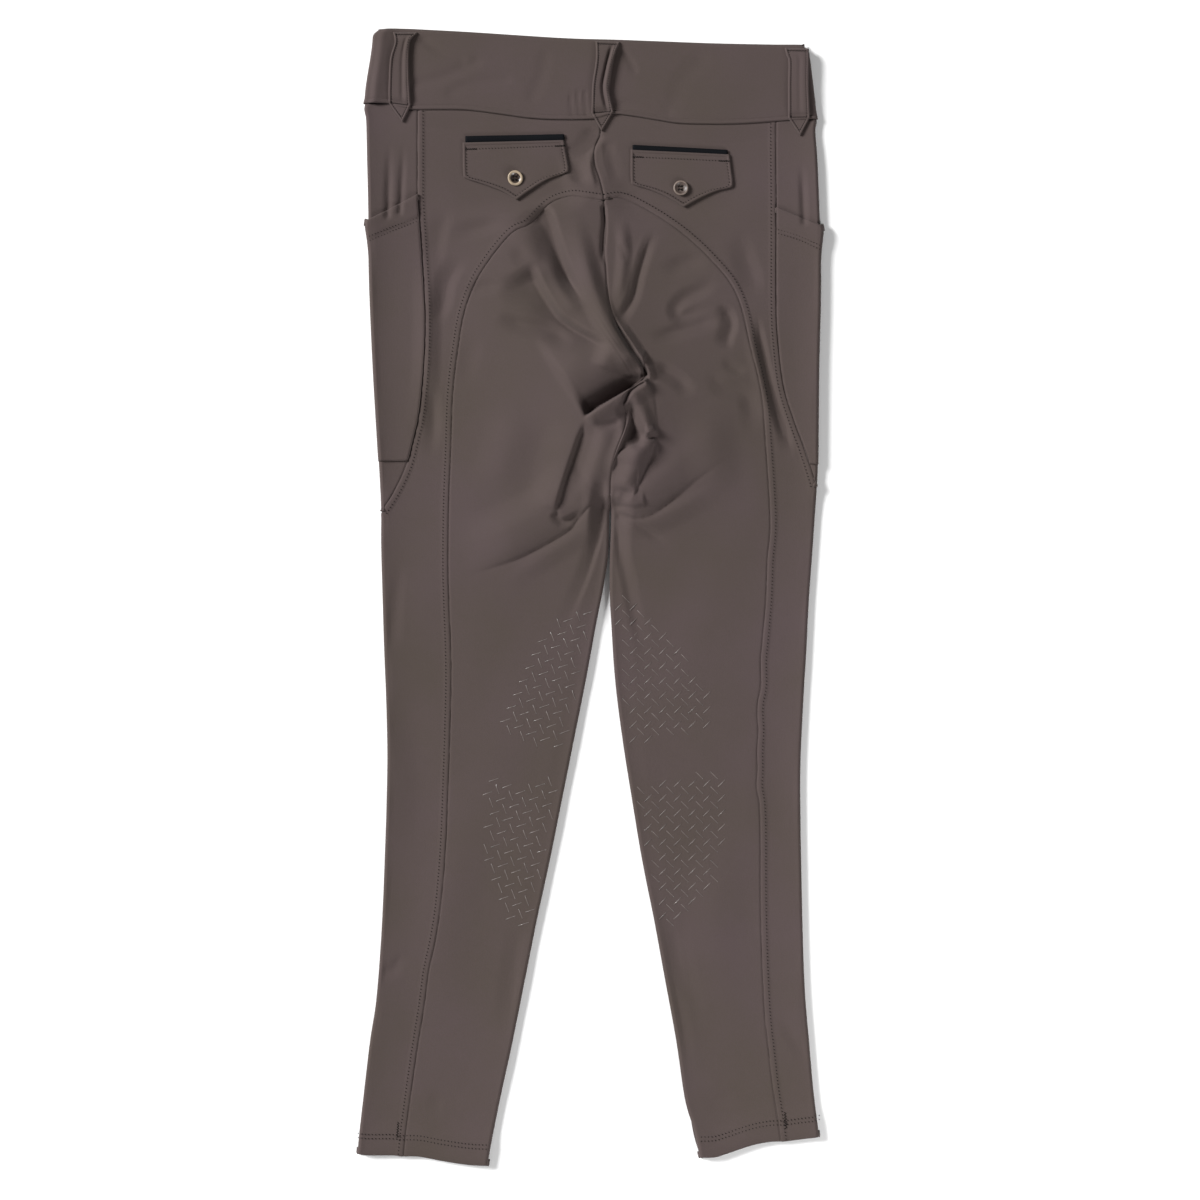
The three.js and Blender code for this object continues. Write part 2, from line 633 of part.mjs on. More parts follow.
// A belt loop is a folded strip that stands a little off the waistband and ends in a point below it
function beltLoop({ top, seam, tip }) {
  const stations = [
    { share: 0, half: 1, off: 0 },
    { share: 0.12, half: 0.98, off: 0.5 },
    { share: 0.35, half: 0.92, off: 1 },
    { share: 0.65, half: 0.9, off: 1 },
    { share: 0.9, half: 0.95, off: 0.35 },
    { share: 1, half: 0.96, off: 0 },
  ];
  const strip = stations.map(({ share, half, off }) => ({
    x: mix(top[0], seam[0], share),
    y: mix(top[1], seam[1], share),
    half: (half * LOOP.width) / 2,
    under: (x) => bandTop(x, 1 - share),
    off,
  }));
  const side = SIDES[top[0] < 0 ? 0 : 1];
  strip.push({ x: tip[0], y: tip[1], half: 1.2, under: (x) => clothTop(side, x, tip[1]), off: 0 });
  const across = [-1, -0.5, 0, 0.5, 1];
  const sections = strip.map(({ x, y, half, under, off }) => {
    const low = (u) => under(x + u * half) + GAP + LOOP.bulge * off + 0.5 * (1 - u * u);
    return {
      face: across.map((u) => [x + u * half, y, low(u) + LOOP.cloth]),
      back: across.map((u) => [x + u * half, y, low(u)]),
    };
  });
  return clothWall(sections);
}

// Places a flat outline on a back pocket: x across, y up from the flap's upper edge
function onPocket(side, outline) {
  const { x, y, turn } = BACK_POCKET[side.name];
  const [c, s] = [Math.cos(turn), Math.sin(turn)];
  return outline.map(([u, v]) => [x + u * c - v * s, y + u * s + v * c]);
}

function flapOutline() {
  const half = FLAP.width / 2;
  const shape = new THREE.Shape();
  shape.moveTo(-half, 0);
  shape.lineTo(-half, FLAP.corner - FLAP.side);
  shape.quadraticCurveTo(-half, -FLAP.side, FLAP.corner - half, -FLAP.side - 1);
  shape.quadraticCurveTo(-half * 0.45, -FLAP.side - 5, 0, -FLAP.point);
  shape.quadraticCurveTo(half * 0.45, -FLAP.side - 5, half - FLAP.corner, -FLAP.side - 1);
  shape.quadraticCurveTo(half, -FLAP.side, half, FLAP.corner - FLAP.side);
  shape.lineTo(half, 0);
  const points = shape.getPoints(6).map((p) => [p.x, p.y]);
  return points.filter(([u, v], n) => n === 0 || Math.hypot(u - points[n - 1][0], v - points[n - 1][1]) > 1e-6);
}

const FLAP_LOW = REST_TOP + GAP;

function flap(side) {
  return plate(onPocket(side, flapOutline()), FLAP_LOW, FLAP_LOW + FLAP_CLOTH);
}

function welt(side) {
  const half = WELT.width / 2;
  const strip = [
    [-half, GAP],
    [half, GAP],
    [half, GAP + WELT.height],
    [-half, GAP + WELT.height],
  ];
  return plate(onPocket(side, strip), FLAP_LOW, FLAP_LOW + WELT.cloth);
}

// A four-hole button with a raised rim and a dished middle
function button(side) {
  const { radius, rim, dish, height, hole, pitch, drop } = BUTTON;
  const profile = [
    [0, 0],
    [radius - 1, 0],
    [radius, 0.9],
    [radius, height - 0.7],
    [radius - 0.5, height],
    [radius - rim, height - 0.1],
    [radius - rim - 1, dish],
    [0, dish],
  ].map(([r, z]) => new THREE.Vector2(r, z));
  const lathe = new THREE.LatheGeometry(profile, 22).rotateX(Math.PI / 2);
  const [[x, y]] = onPocket(side, [[0, -drop]]);
  const low = FLAP_LOW + FLAP_CLOTH + GAP;
  let solid = manifoldFrom(lathe.translate(x, y, low));
  for (const [across, up] of [[-1, -1], [-1, 1], [1, -1], [1, 1]]) {
    const drill = new THREE.CylinderGeometry(hole, hole, 10, 8).rotateX(Math.PI / 2);
    drill.translate(x + (across * pitch) / 2, y + (up * pitch) / 2, low);
    solid = solid.subtract(manifoldFrom(drill));
  }
  return solid;
}

// Materials
const clothMaterial = new THREE.MeshStandardMaterial({ color: 0x5c504d, roughness: 0.82, metalness: 0 });
const weltMaterial = new THREE.MeshStandardMaterial({ color: 0x1d1d21, roughness: 0.6, metalness: 0 });
const buttonMaterial = new THREE.MeshStandardMaterial({ color: 0x6b5749, roughness: 0.3, metalness: 0 });

const breeches = new THREE.Group();
breeches.position.set(-ORIGIN.x, -ORIGIN.y, 0);

function add(name, solid, material = clothMaterial) {
  const mesh = new THREE.Mesh(geometryOf(solid), material);
  mesh.name = name;
  breeches.add(mesh);
}

add('waistband', waistband());
LOOPS.forEach((loop) => add(loop.name, beltLoop(loop)));
for (const side of SIDES) {
  const { name } = side;
  const sheet = sheetOf(side);
  const inner = sheet.subtract(outsideOf(side, SIDE_SEAM[name], -GAP / 2));
  add(`side_panel_${name}`, sheet.intersect(outsideOf(side, SIDE_SEAM[name], GAP / 2)));
  add(`hip_leg_panel_${name}`, inner.intersect(outsideOf(side, SEAT_SEAM[name], GAP / 2)));
  add(`seat_leg_panel_${name}`, inner.subtract(outsideOf(side, SEAT_SEAM[name], -GAP / 2)));
  add(`side_pocket_${name}`, sidePocketOf(side));
  add(`front_panel_${name}`, frontOf(side));
  add(`back_pocket_welt_${name}`, welt(side), weltMaterial);
  add(`back_pocket_flap_${name}`, flap(side));
  add(`pocket_button_${name}`, button(side), buttonMaterial);
}

export default breeches;
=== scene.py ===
# Riding breeches laid flat with the seat up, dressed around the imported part.
# Points of the layout are (across, down) in steps of 0.84 mm, seen from straight above.
# Heights, widths and sizes are in millimetres. x runs to the right, and y up to the waist at the top.

import math

import bpy
import numpy as np
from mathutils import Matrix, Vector


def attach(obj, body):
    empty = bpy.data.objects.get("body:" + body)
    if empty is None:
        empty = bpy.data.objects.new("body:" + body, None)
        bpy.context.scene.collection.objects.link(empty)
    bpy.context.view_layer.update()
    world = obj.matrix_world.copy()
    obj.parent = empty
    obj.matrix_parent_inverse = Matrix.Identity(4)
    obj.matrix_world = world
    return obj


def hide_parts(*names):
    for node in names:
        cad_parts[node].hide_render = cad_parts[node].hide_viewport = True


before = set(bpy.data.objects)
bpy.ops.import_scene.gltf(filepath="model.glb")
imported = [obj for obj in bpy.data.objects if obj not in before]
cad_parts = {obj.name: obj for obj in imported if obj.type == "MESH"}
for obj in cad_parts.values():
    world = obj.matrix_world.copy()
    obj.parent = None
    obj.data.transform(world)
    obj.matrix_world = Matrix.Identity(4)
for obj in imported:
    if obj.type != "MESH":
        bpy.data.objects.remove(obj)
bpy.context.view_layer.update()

STEP = 0.84
MIDDLE = (589.5, 596.0)  # the layout point that x and y are measured from
SHIFT = (-0.28, 0.68)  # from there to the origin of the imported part
PER_METRE = 1000
CLOTH = 1.2
ROLL = 2.8  # radius of an edge that goes round to the underside
REST_TOP = 3.4  # level of the upper layer where it lies flat
LOWEST = 2.6  # troughs below this level are pressed together
GIVE = 0.12  # how much of their depth stays
LEG_TOP = 85  # y where the legs part
BAND_TOP = 5.2
BAND_ROLL = 3.3
BAND_HEIGHT = 62
POCKET_STEP = 1.6  # how far a side pocket lies outside the yoke
HEM_DEPTH = 16.5
HEM_ROWS = (0, 3.4)  # the two stitch rows, measured down from the depth of the hem
TOPSTITCH = 4.5  # from a seam to the stitch row beside it
SIDES = {"left": -1, "right": 1}
APEX = (604, 200.5)  # where the seat seams meet the centre seam
CROTCH = (610.4, 505)

# Layout curves
OUTER = {
    "left": [(366.5, 100), (364, 112), (366, 122), (367, 160), (368, 200), (368.5, 235), (369.5, 285),
             (371.5, 335), (374, 385), (377, 435), (379.5, 475), (381, 510), (381, 545), (382.5, 600),
             (384, 650), (386, 700), (387.2, 755), (386.2, 810), (384.5, 860), (382.5, 910), (379.5, 960),
             (375.5, 1005), (370, 1040), (363.5, 1095), (359.5, 1130), (357.4, 1153)],
    "right": [(816, 100), (817, 120), (815.5, 132), (817.5, 160), (819.5, 210), (820.5, 250), (820.5, 300),
              (819, 360), (818.3, 420), (817.8, 470), (816, 500), (813, 545), (809, 600), (806.5, 650),
              (803.5, 700), (800.7, 760), (800.5, 810), (801.5, 870), (802.8, 930), (805, 990),
              (809.5, 1045), (813.5, 1090), (818, 1125), (819.8, 1140)],
}
INNER = {
    "left": [(609.2, 500), (609, 530), (608, 556), (603, 590), (597, 620), (586, 680), (574, 740),
             (562, 800), (550, 860), (537, 920), (525, 980), (513, 1040), (500, 1100), (490, 1150),
             (487.5, 1168)],
    "right": [(611.6, 500), (610.8, 530), (609.8, 556), (609.6, 590), (611, 620), (615, 680), (622.5, 740),
              (632, 800), (642, 860), (654, 920), (665, 980), (676, 1040), (685, 1100), (694, 1130),
              (700.5, 1160)],
}
WAIST_SEAM = [(360, 104), (388, 104), (400, 107.5), (413, 110), (440, 110), (468, 110.5), (500, 114.5),
              (531, 118.6), (560, 120), (589, 119.6), (600, 118), (614, 114.5), (633, 116.4), (658, 120.5),
              (684, 124), (735, 124.3), (786, 121), (805, 120), (824, 119)]
WAIST_TOP = [(360, 32), (380, 30.5), (404, 29.7), (468, 33), (563, 39), (627, 41),
             (723, 44.6), (799, 46), (824, 47)]
HEM = {
    "left": [(350, 1150), (357.6, 1152), (368, 1153.7), (393, 1154), (402.6, 1155), (419, 1155.3),
             (443, 1159.7), (469, 1163.3), (488.3, 1164), (500, 1164)],
    "right": [(690, 1157), (700.4, 1156), (714.7, 1155.7), (726, 1152.4), (739, 1148), (753.5, 1143.5),
              (770, 1140.5), (785, 1140), (802, 1137.7), (814.7, 1136), (819.3, 1134), (830, 1132)],
}
HIP_SEAM = {
    "left": [(417.7, 100), (417.7, 150), (417.8, 196), (419, 218), (423.6, 287), (424.8, 325), (423.6, 364),
             (418.8, 413), (413, 440), (406.7, 464), (395, 490), (381, 512), (366, 530)],
    "right": [(776, 108), (776, 160), (776.4, 211), (776.4, 301), (777.6, 335), (783.6, 386), (794.5, 422),
              (803, 445), (810, 466), (817, 489), (822, 505)],
}
SEAT_SEAM = {
    "left": [(604, 200.5), (588, 198), (573, 196), (560, 198.5), (550, 203.5), (541, 212), (533, 221),
             (526, 226.7), (516.4, 230.5), (505.7, 240), (489, 261), (475, 284), (464.4, 313), (458.3, 348),
             (453, 394), (451, 450), (449, 500), (448.2, 560), (449, 600), (450.5, 640), (451.2, 680),
             (450, 730), (448, 790), (445.5, 850), (441.4, 900), (436, 937), (428.8, 971), (424, 1007),
             (416.8, 1052), (410, 1100), (405.5, 1135), (402.5, 1170)],
    "right": [(604, 200.5), (612, 198.3), (621, 198), (635, 203), (658, 216), (681, 232), (699.6, 248),
              (715, 264), (727, 278), (736, 293), (743, 313), (750, 345), (757.8, 376), (762.4, 402),
              (765.5, 440), (770.3, 519), (767.5, 560), (766, 600), (762.6, 640), (760.7, 660), (761, 685),
              (757.9, 702), (757.4, 715), (758.3, 732), (757.2, 750), (757.4, 770), (756.8, 787),
              (759.3, 803), (760.4, 830), (760.7, 900), (762.3, 962), (765, 1016), (769, 1052),
              (772.5, 1084), (777, 1114), (781.5, 1145), (784, 1160)],
}
CENTRE_BACK = [(601.2, 100), (600.6, 132), (597.6, 141), (594.6, 150), (594.6, 163), (599.5, 178),
               (602.7, 191), (604, 200.5), (604, 211), (606.4, 228), (605.6, 241), (604.8, 254), (606, 268),
               (607, 285), (609.5, 305), (615, 322), (624.3, 341), (635, 358), (643, 369), (645, 378),
               (637, 386), (627, 395), (623, 405), (626, 417), (624, 431), (616, 452), (611.5, 470),
               (610.5, 490), (610.4, 508)]

# Folds: the line they follow, height (a trough is negative), reach on the port and starboard hand of someone
# walking along it, how creased the crest is (0 round, 1 sharp), lean towards port, and where the ends fade
FOLD_COLUMNS = ("line", "height", "port", "starboard", "crease", "lean", "fade_in", "fade_out")
FOLDS = {
    "seat_ridge": ([(570, 210), (582, 250), (594, 292), (612, 332), (638, 371)], 5.6, 12, 15, 0, 0, 0.45,
        0.1),
    "seat_ditch": ([(540, 203), (548, 222), (557, 250), (568, 278), (584, 306)], -11.5, 8, 34, 0.3, 0, 0.16,
        0.34),
    "pit": ([(649, 376), (638, 382), (628, 389), (618, 395), (600, 406), (583, 417)], -14.5, 3, 43, 0.8, 0,
        0.3, 0.14),
    "brow": ([(648, 380.5), (638, 386), (627, 393), (618, 398.5), (599, 410), (585, 421)], 6, 16, 3, 0.15,
        -0.4, 0.05, 0.1),
    "lobe_shade": ([(586, 422), (577, 447), (566, 480), (556, 513)], -3, 26, 3, 0.3, 0, 0.15, 0.15),
    "tongue_body": ([(631, 390), (638, 405), (644, 420), (650, 437)], 4, 9, 7, 0, 0, 0.3, 0.08),
    "lobe_hook": ([(554, 512), (561, 521), (571, 519), (582, 511)], -3.6, 4, 7, 0.5, 0, 0.1, 0.4),
    "brow_dent": ([(589, 424), (605, 427), (622, 422)], -2.2, 5, 5, 0.2, 0, 0.3, 0.2),
    "lobe_swell": ([(606, 424), (600, 450), (590, 478), (578, 505)], 2.6, 14, 10, 0, 0, 0.2, 0.3),
    "right_lobe_swell": ([(640, 446), (632, 466), (622, 490)], 2.6, 12, 12, 0, 0, 0.2, 0.2),
    "seat_right_hook": ([(718, 275), (704, 289), (686, 298), (676, 309), (681, 317), (698, 313),
        (716, 311)], -2.6, 9, 10, 0.1, 0, 0.35, 0.35),
    "seat_right_drop": ([(716, 306), (728, 313), (732, 325), (728, 339), (726, 352)], -3.6, 6, 13, 0.3, 0,
        0.3, 0.3),
    "seat_right_line": ([(648, 338), (675, 332), (700, 324), (722, 320)], -2.6, 8, 11, 0.25, 0, 0.35, 0.3),
    "seat_right_c": ([(721, 360), (736, 369), (748, 371)], -1.3, 7, 8, 0.2, 0, 0.4, 0.4),
    "seat_right_d": ([(709, 368), (720, 387), (740, 392), (749, 404), (752, 438)], -1.6, 10, 11, 0.2, 0,
        0.3, 0.4),
    "seat_right_e": ([(654, 366), (678, 380), (694, 398)], -2.8, 9, 11, 0.2, 0, 0.25, 0.4),
    "seat_right_f": ([(660, 272), (688, 263), (710, 266)], -1.8, 11, 12, 0.1, 0, 0.45, 0.45),
    "hip_right": ([(737, 228), (746, 258), (753, 280), (756, 302)], -1.9, 11, 16, 0.1, 0, 0.45, 0.4),
    "hip_crease": ([(757, 315), (761, 340), (768, 373), (776, 402), (785, 429), (792, 456)], -5.2, 5, 10,
        0.4, 0, 0.25, 0.25),
    "hip_left_a": ([(449, 205), (439, 238), (436, 272)], -1.2, 9, 14, 0.1, 0, 0.35, 0.4),
    "hip_left_b": ([(466, 254), (449, 280), (443, 307), (429, 328)], -2.2, 9, 14, 0.2, 0, 0.35, 0.4),
    "hip_left_c": ([(448, 235), (479, 228.5), (508, 222)], -1.7, 11, 10, 0.1, 0, 0.45, 0.4),
    "hip_left_d": ([(430, 380), (434, 420), (430, 462)], -2.2, 9, 10, 0.1, 0, 0.4, 0.5),
    "seat_left_a": ([(496, 316), (522, 325), (548, 331), (574, 347)], -3.2, 9, 13, 0.2, 0, 0.3, 0.25),
    "seat_left_b": ([(506, 287), (480, 288), (466, 298)], -1.4, 9, 9, 0.2, 0, 0.4, 0.4),
    "seat_left_c": ([(512, 246), (527, 262), (548, 272)], -1.8, 9, 11, 0.1, 0, 0.35, 0.35),
    "seat_left_d": ([(478, 330), (470, 356), (466, 392)], -0.8, 12, 14, 0, 0, 0.4, 0.4),
    "thigh_left_b": ([(520, 400), (508, 450), (488, 500)], 2, 26, 26, 0, 0, 0.4, 0.4),
    "thigh_right_b": ([(700, 400), (712, 450), (716, 510)], 2, 26, 26, 0, 0, 0.4, 0.4),
    "lobe_rim": ([(628, 405), (629, 421), (619, 447), (613, 463), (609.5, 482)], 3.6, 1.8, 9, 0.8, 0, 0.1,
        0.3),
    "right_ditch_rim": ([(654, 229), (644, 249), (635.5, 275), (629, 299), (618, 318)], 1.4, 3.5, 9, 0.5, 0,
        0.3, 0.3),
    "hip_left_roll": ([(427, 245), (429, 290), (429, 340), (427, 390), (420, 430)], 3.2, 12, 16, 0.3, 0,
        0.4, 0.4),
    "hip_right_roll": ([(752, 318), (757, 350), (764, 385), (770, 410), (778, 440)], 2, 9, 12, 0.3, 0, 0.3,
        0.3),
    "crevice": ([(647, 383), (638, 387.5), (628, 396), (622, 408)], -4.5, 3.5, 3, 0.6, 0, 0.15, 0.2),
    "under_tongue": ([(626, 404), (631, 420), (637, 436), (646, 443)], -7.5, 8, 12, 0.3, 0, 0.2, 0.2),
    "second_ditch": ([(526, 264), (541, 295), (556, 318), (572, 331), (592, 343), (614, 357)], -9.4, 8, 34,
        0.35, 0, 0.15, 0.25),
    "between_ditches": ([(545, 245), (558, 285), (584, 322)], 1.8, 8, 8, 0, 0, 0.4, 0.4),
    "centre_crease_top": ([(603.6, 203), (604.6, 222), (603.2, 240), (603, 256), (605, 268)], -3.4, 3.2,
        4.2, 0.8, 0, 0.1, 0.3),
    "centre_crease_low": ([(610, 312), (618, 329), (629, 347), (641, 366), (648, 378)], -3.6, 3.2, 3.4, 0.8,
        0, 0.3, 0.05),
    "thin_ridge": ([(614, 318), (626, 334), (640, 355), (649, 371), (651, 383)], 3.6, 6, 3.2, 0.2, -0.8,
        0.3, 0.1),
    "right_lobe": ([(620, 216), (624, 250), (620, 296), (618, 312)], 2.4, 8, 8, 0, 0, 0.3, 0.3),
    "right_ditch": ([(656, 229), (646, 249), (638, 275), (632, 299), (618, 324)], -3.2, 8, 7, 0.4, 0, 0.3,
        0.15),
    "right_small": ([(620, 243), (624, 254), (626, 265)], -0.9, 5, 5, 0.2, 0, 0.4, 0.4),
    "sweep_left_ridge": ([(598, 522), (570, 540), (535, 562), (495, 590)], 1.8, 14, 9, 0, 0, 0.3, 0.6),
    "sweep_right_ridge": ([(612, 514), (642, 522), (682, 506), (720, 484)], 2.2, 8, 16, 0, 0, 0.2, 0.5),
    "fan_right": ([(612, 515), (630, 521), (648, 531), (672, 550)], -2, 6, 6, 0.4, 0, 0.1, 0.6),
    "right_leg_ditch": ([(613, 516), (619, 545), (626, 575), (633, 612), (648, 662)], -2, 10, 7, 0.1, 0,
        0.1, 0.5),
    "left_leg_ditch": ([(602, 474), (603, 497), (600, 528), (593, 556), (581, 590), (558, 640)], -2.6, 4.5,
        12, 0.2, 0, 0.15, 0.6),
    "left_leg_ridge": ([(590, 470), (590, 500), (582, 540)], 1.6, 8, 8, 0, 0, 0.4, 0.5),
    "yoke_a": ([(598, 131), (588, 145), (574, 158)], -3.4, 9, 12, 0.15, 0, 0.1, 0.35),
    "yoke_b": ([(567, 142), (571, 160), (583, 188)], -3, 9, 10, 0.15, 0, 0.25, 0.3),
    "yoke_c": ([(592, 150), (590, 168), (596, 190)], 1.8, 4, 5, 0.1, 0, 0.4, 0.3),
    "yoke_d": ([(606, 140), (611, 160), (618, 186)], -2, 6, 6, 0.2, 0, 0.15, 0.4),
    "side_left_a": ([(390, 140), (389, 175), (388, 216)], -2, 4, 5, 0.3, 0, 0.7, 0),
    "side_left_b": ([(404, 140), (402, 175), (400, 212)], -1.9, 4, 4, 0.3, 0, 0.7, 0),
    "side_right": ([(801, 160), (803, 190), (804, 222)], -2, 5, 5, 0.3, 0, 0.6, 0),
    "calf_left_a": ([(377, 972), (393, 968), (404, 953)], -1.3, 6, 9, 0.3, 0, 0.1, 0.5),
    "calf_left_b": ([(521, 915), (514, 965), (508, 1016), (499, 1040)], -1.1, 9, 14, 0, 0, 0.4, 0.4),
    "calf_left_c": ([(437, 1090), (436, 1104), (434, 1116)], -0.5, 9, 9, 0, 0, 0.4, 0.4),
    "calf_right_a": ([(674, 908), (681, 962), (700, 1028)], -1.1, 14, 9, 0, 0, 0.4, 0.4),
    "calf_right_b": ([(774, 1010), (797, 1043), (810, 1068)], -0.9, 9, 9, 0.1, 0, 0.4, 0.4),
    "calf_right_c": ([(704, 1106), (722, 1101), (738, 1095)], -0.6, 8, 8, 0.1, 0, 0.4, 0.4),
    "knee_left": ([(550, 694), (566, 696), (586, 691)], -0.6, 8, 8, 0.2, 0, 0.4, 0.3),
    "shin_left": ([(470, 800), (452, 880), (440, 960), (434, 1050)], 1.3, 34, 30, 0, 0, 0.4, 0.4),
    "shin_right": ([(720, 820), (716, 900), (722, 980), (738, 1060)], 1.3, 34, 30, 0, 0, 0.4, 0.4),
    "knee_bow_left": ([(398, 690), (420, 770), (414, 860)], -1, 30, 22, 0, 0, 0.4, 0.4),
    "knee_bow_right": ([(785, 700), (776, 780), (782, 860)], -1, 22, 26, 0, 0, 0.4, 0.4),
    "calf_right_d": ([(664, 900), (672, 955), (684, 1040), (690, 1090)], -1, 10, 12, 0.1, 0, 0.3, 0.4),
    "thigh_left": ([(402, 555), (396, 600), (392, 660)], -0.8, 9, 9, 0, 0, 0.4, 0.4),
}
EDGE_COLUMNS = ("line", "raised", "height", "rise", "reach", "fade_in", "fade_out")
EDGES = {
    # Folded edges: the line is the foot of the edge, the cloth stands up steeply on the raised hand (1 port)
    "seat_ridge_end": ([(588, 364), (606, 371), (624, 376), (642, 380)], 1, 4, 14, 26, 0.3, 0.05),
    "pit_bank": ([(650, 375), (638, 382), (628, 389), (618, 395), (600, 406), (582, 418)], -1, 7.2, 30, 84,
        0.3, 0.14),
    "seat_ditch_side": ([(543, 208), (552, 240), (562, 268), (576, 293), (590, 311)], -1, 3.6, 14, 34, 0.2,
        0.35),
    "second_ditch_side": ([(531, 274), (546, 301), (558, 318), (570, 329), (590, 340), (606, 352)], -1, 2.6,
        12, 34, 0.3, 0.2),
    "left_lobe": ([(585, 421), (576, 447), (565, 480), (555, 515)], -1, 2.4, 3.4, 30, 0.25, 0.1),
    "tongue_right": ([(650, 374), (655, 406), (658, 437)], -1, 1.2, 7, 14, 0.2, 0.1),
    "tongue_end": ([(644, 438.5), (651, 438.5), (658, 436)], 1, 3.8, 3.5, 12, 0.1, 0.1),
    "right_lobe_top": ([(657, 439), (643, 442), (630, 447), (618, 454), (612, 465)], 1, 2.8, 5, 18, 0.06,
        0.25),
    "right_lobe_side": ([(657, 438), (649, 460), (640, 480), (634, 497)], -1, 4.6, 7, 24, 0.1, 0.1),
    "right_lobe_foot": ([(612, 504), (624, 506), (635, 507.5), (646, 506.5)], 1, 2, 5, 14, 0.2, 0.06),
    "sweep_right": ([(613, 508), (626, 516), (640, 518), (654, 513), (668, 503), (684, 490), (708, 471),
        (738, 451)], 1, 5, 18, 40, 0.08, 0.7),
    "sweep_left": ([(600, 498), (588, 507), (577, 520), (565, 533), (523, 556), (490, 568), (462, 576)], -1,
        5.4, 24, 50, 0.12, 0.4),
    "yoke_roll": ([(572, 141), (575.5, 155), (579, 172), (587, 188)], -1, 2.4, 5, 16, 0.3, 0.4),
    "yoke_fan": ([(560, 172), (572, 176), (584, 190)], -1, 1.4, 3, 14, 0.3, 0.4),
}
SWELLS = (
    # x, y, half size across, half size along, height
    (-48, 175, 74, 120, 7.5),
    (92, 165, 60, 118, 5.5),
    (20, 150, 50, 84, 13.0),
    (-22, 284, 58, 80, 6.5),
    (-70, -60, 60, 190, 1.6),
    (85, -60, 55, 190, 1.6),
)
CALM = ((-62.5, 364, 52, 36), (77.5, 358, 52, 36))  # level cloth under the flap pockets


# Lines and numbers
def laid(points):
    """Layout points as millimetres across and up."""
    points = np.array(points, float)
    return np.column_stack([(points[:, 0] - MIDDLE[0]) * STEP, (MIDDLE[1] - points[:, 1]) * STEP])


def length_along(points):
    return np.concatenate([[0], np.cumsum(np.linalg.norm(np.diff(points, axis=0), axis=1))])


def resample(points, step):
    """The same line with evenly spaced points."""
    length = length_along(points)
    even = np.linspace(0, length[-1], max(2, int(length[-1] / step) + 1))
    return np.column_stack([np.interp(even, length, points[:, k]) for k in range(points.shape[1])])


def curve(points, step=2.0):
    """A smooth line through layout points, in millimetres."""
    given = laid(points)
    if len(given) == 2:
        return resample(given, step)
    ends = np.vstack([2 * given[0] - given[1], given, 2 * given[-1] - given[-2]])
    fine = []
    for k in range(len(given) - 1):
        a, b, c, d = ends[k : k + 4]
        t = np.linspace(0, 1, 20, endpoint=False)[:, None]
        fine.append(b + 0.5 * t * (c - a + t * (2 * a - 5 * b + 4 * c - d + t * (3 * b - a - 3 * c + d))))
    return resample(np.vstack([*fine, given[-1:]]), step)


def clipped(v):
    return np.clip(v, 0, 1)


def smooth(v):
    """A soft step from 0 to 1."""
    v = clipped(v)
    return v * v * (3 - 2 * v)


def bump(v):
    return np.exp(-(v**2))


def unit(ways):
    """The same directions, each one long."""
    return ways / np.maximum(np.linalg.norm(ways, axis=1), 1e-9)[:, None]


def port_of(ways):
    """Directions turned a quarter towards port."""
    return np.column_stack([-ways[:, 1], ways[:, 0]])


AT_A_TIME = 4000  # points measured in one go


def near(line, x, y):
    """Distance to a line, the hand of it (1 port, -1 starboard), the share of the way along, and the way."""
    start, way = line[:-1], np.diff(line, axis=0)
    length2 = np.maximum((way**2).sum(1), 1e-12)
    distance, hand, share = np.empty(len(x)), np.empty(len(x)), np.empty(len(x))
    direction = np.empty((len(x), 2))
    for low in range(0, len(x), AT_A_TIME):
        part = slice(low, low + AT_A_TIME)
        px, py = x[part, None] - start[:, 0], y[part, None] - start[:, 1]
        t = np.clip((px * way[:, 0] + py * way[:, 1]) / length2, 0, 1)
        ex, ey = px - t * way[:, 0], py - t * way[:, 1]
        square = ex**2 + ey**2
        k = square.argmin(1)
        rows = np.arange(len(k))
        distance[part] = np.sqrt(square[rows, k])
        hand[part] = np.where(way[k, 0] * ey[rows, k] - way[k, 1] * ex[rows, k] >= 0, 1, -1)
        share[part] = (k + t[rows, k]) / len(way)
        direction[part] = way[k] / np.sqrt(length2[k])[:, None]
    return distance, hand, share, direction


FOLD_LINES = {name: curve(row[0], 3.0) for name, row in FOLDS.items()}
EDGE_LINES = {name: curve(row[0], 2.0) for name, row in EDGES.items()}
LINES = {
    "waist": curve(WAIST_SEAM),
    "band_top": curve(WAIST_TOP),
    "centre": curve(CENTRE_BACK),
}
SIDE_LINES = {"outer": OUTER, "inner": INNER, "hip": HIP_SEAM, "seat": SEAT_SEAM, "hem": HEM}
for kind, lines in SIDE_LINES.items():
    for side in SIDES:
        LINES[f"{kind}_{side}"] = curve(lines[side])


def across_at(line, y):
    """x of a line that runs down the layout, at heights y."""
    order = np.argsort(line[:, 1])
    return np.interp(y, line[order, 1], line[order, 0])


def up_at(line, x):
    """y of a line that runs across the layout, at places x."""
    order = np.argsort(line[:, 0])
    return np.interp(x, line[order, 0], line[order, 1])


def within(line, reach, x, y):
    """Which points lie in the box round a line and its reach."""
    low, high = line.min(0) - reach, line.max(0) + reach
    return np.flatnonzero((x > low[0]) & (x < high[0]) & (y > low[1]) & (y < high[1]))


def slope_off(v, crease):
    """Profile of a fold: 1 on its line, 0 at its reach, sharp on top when crease is 1."""
    return (1 - v) ** 2 * (1 + 2 * v * (1 - crease))


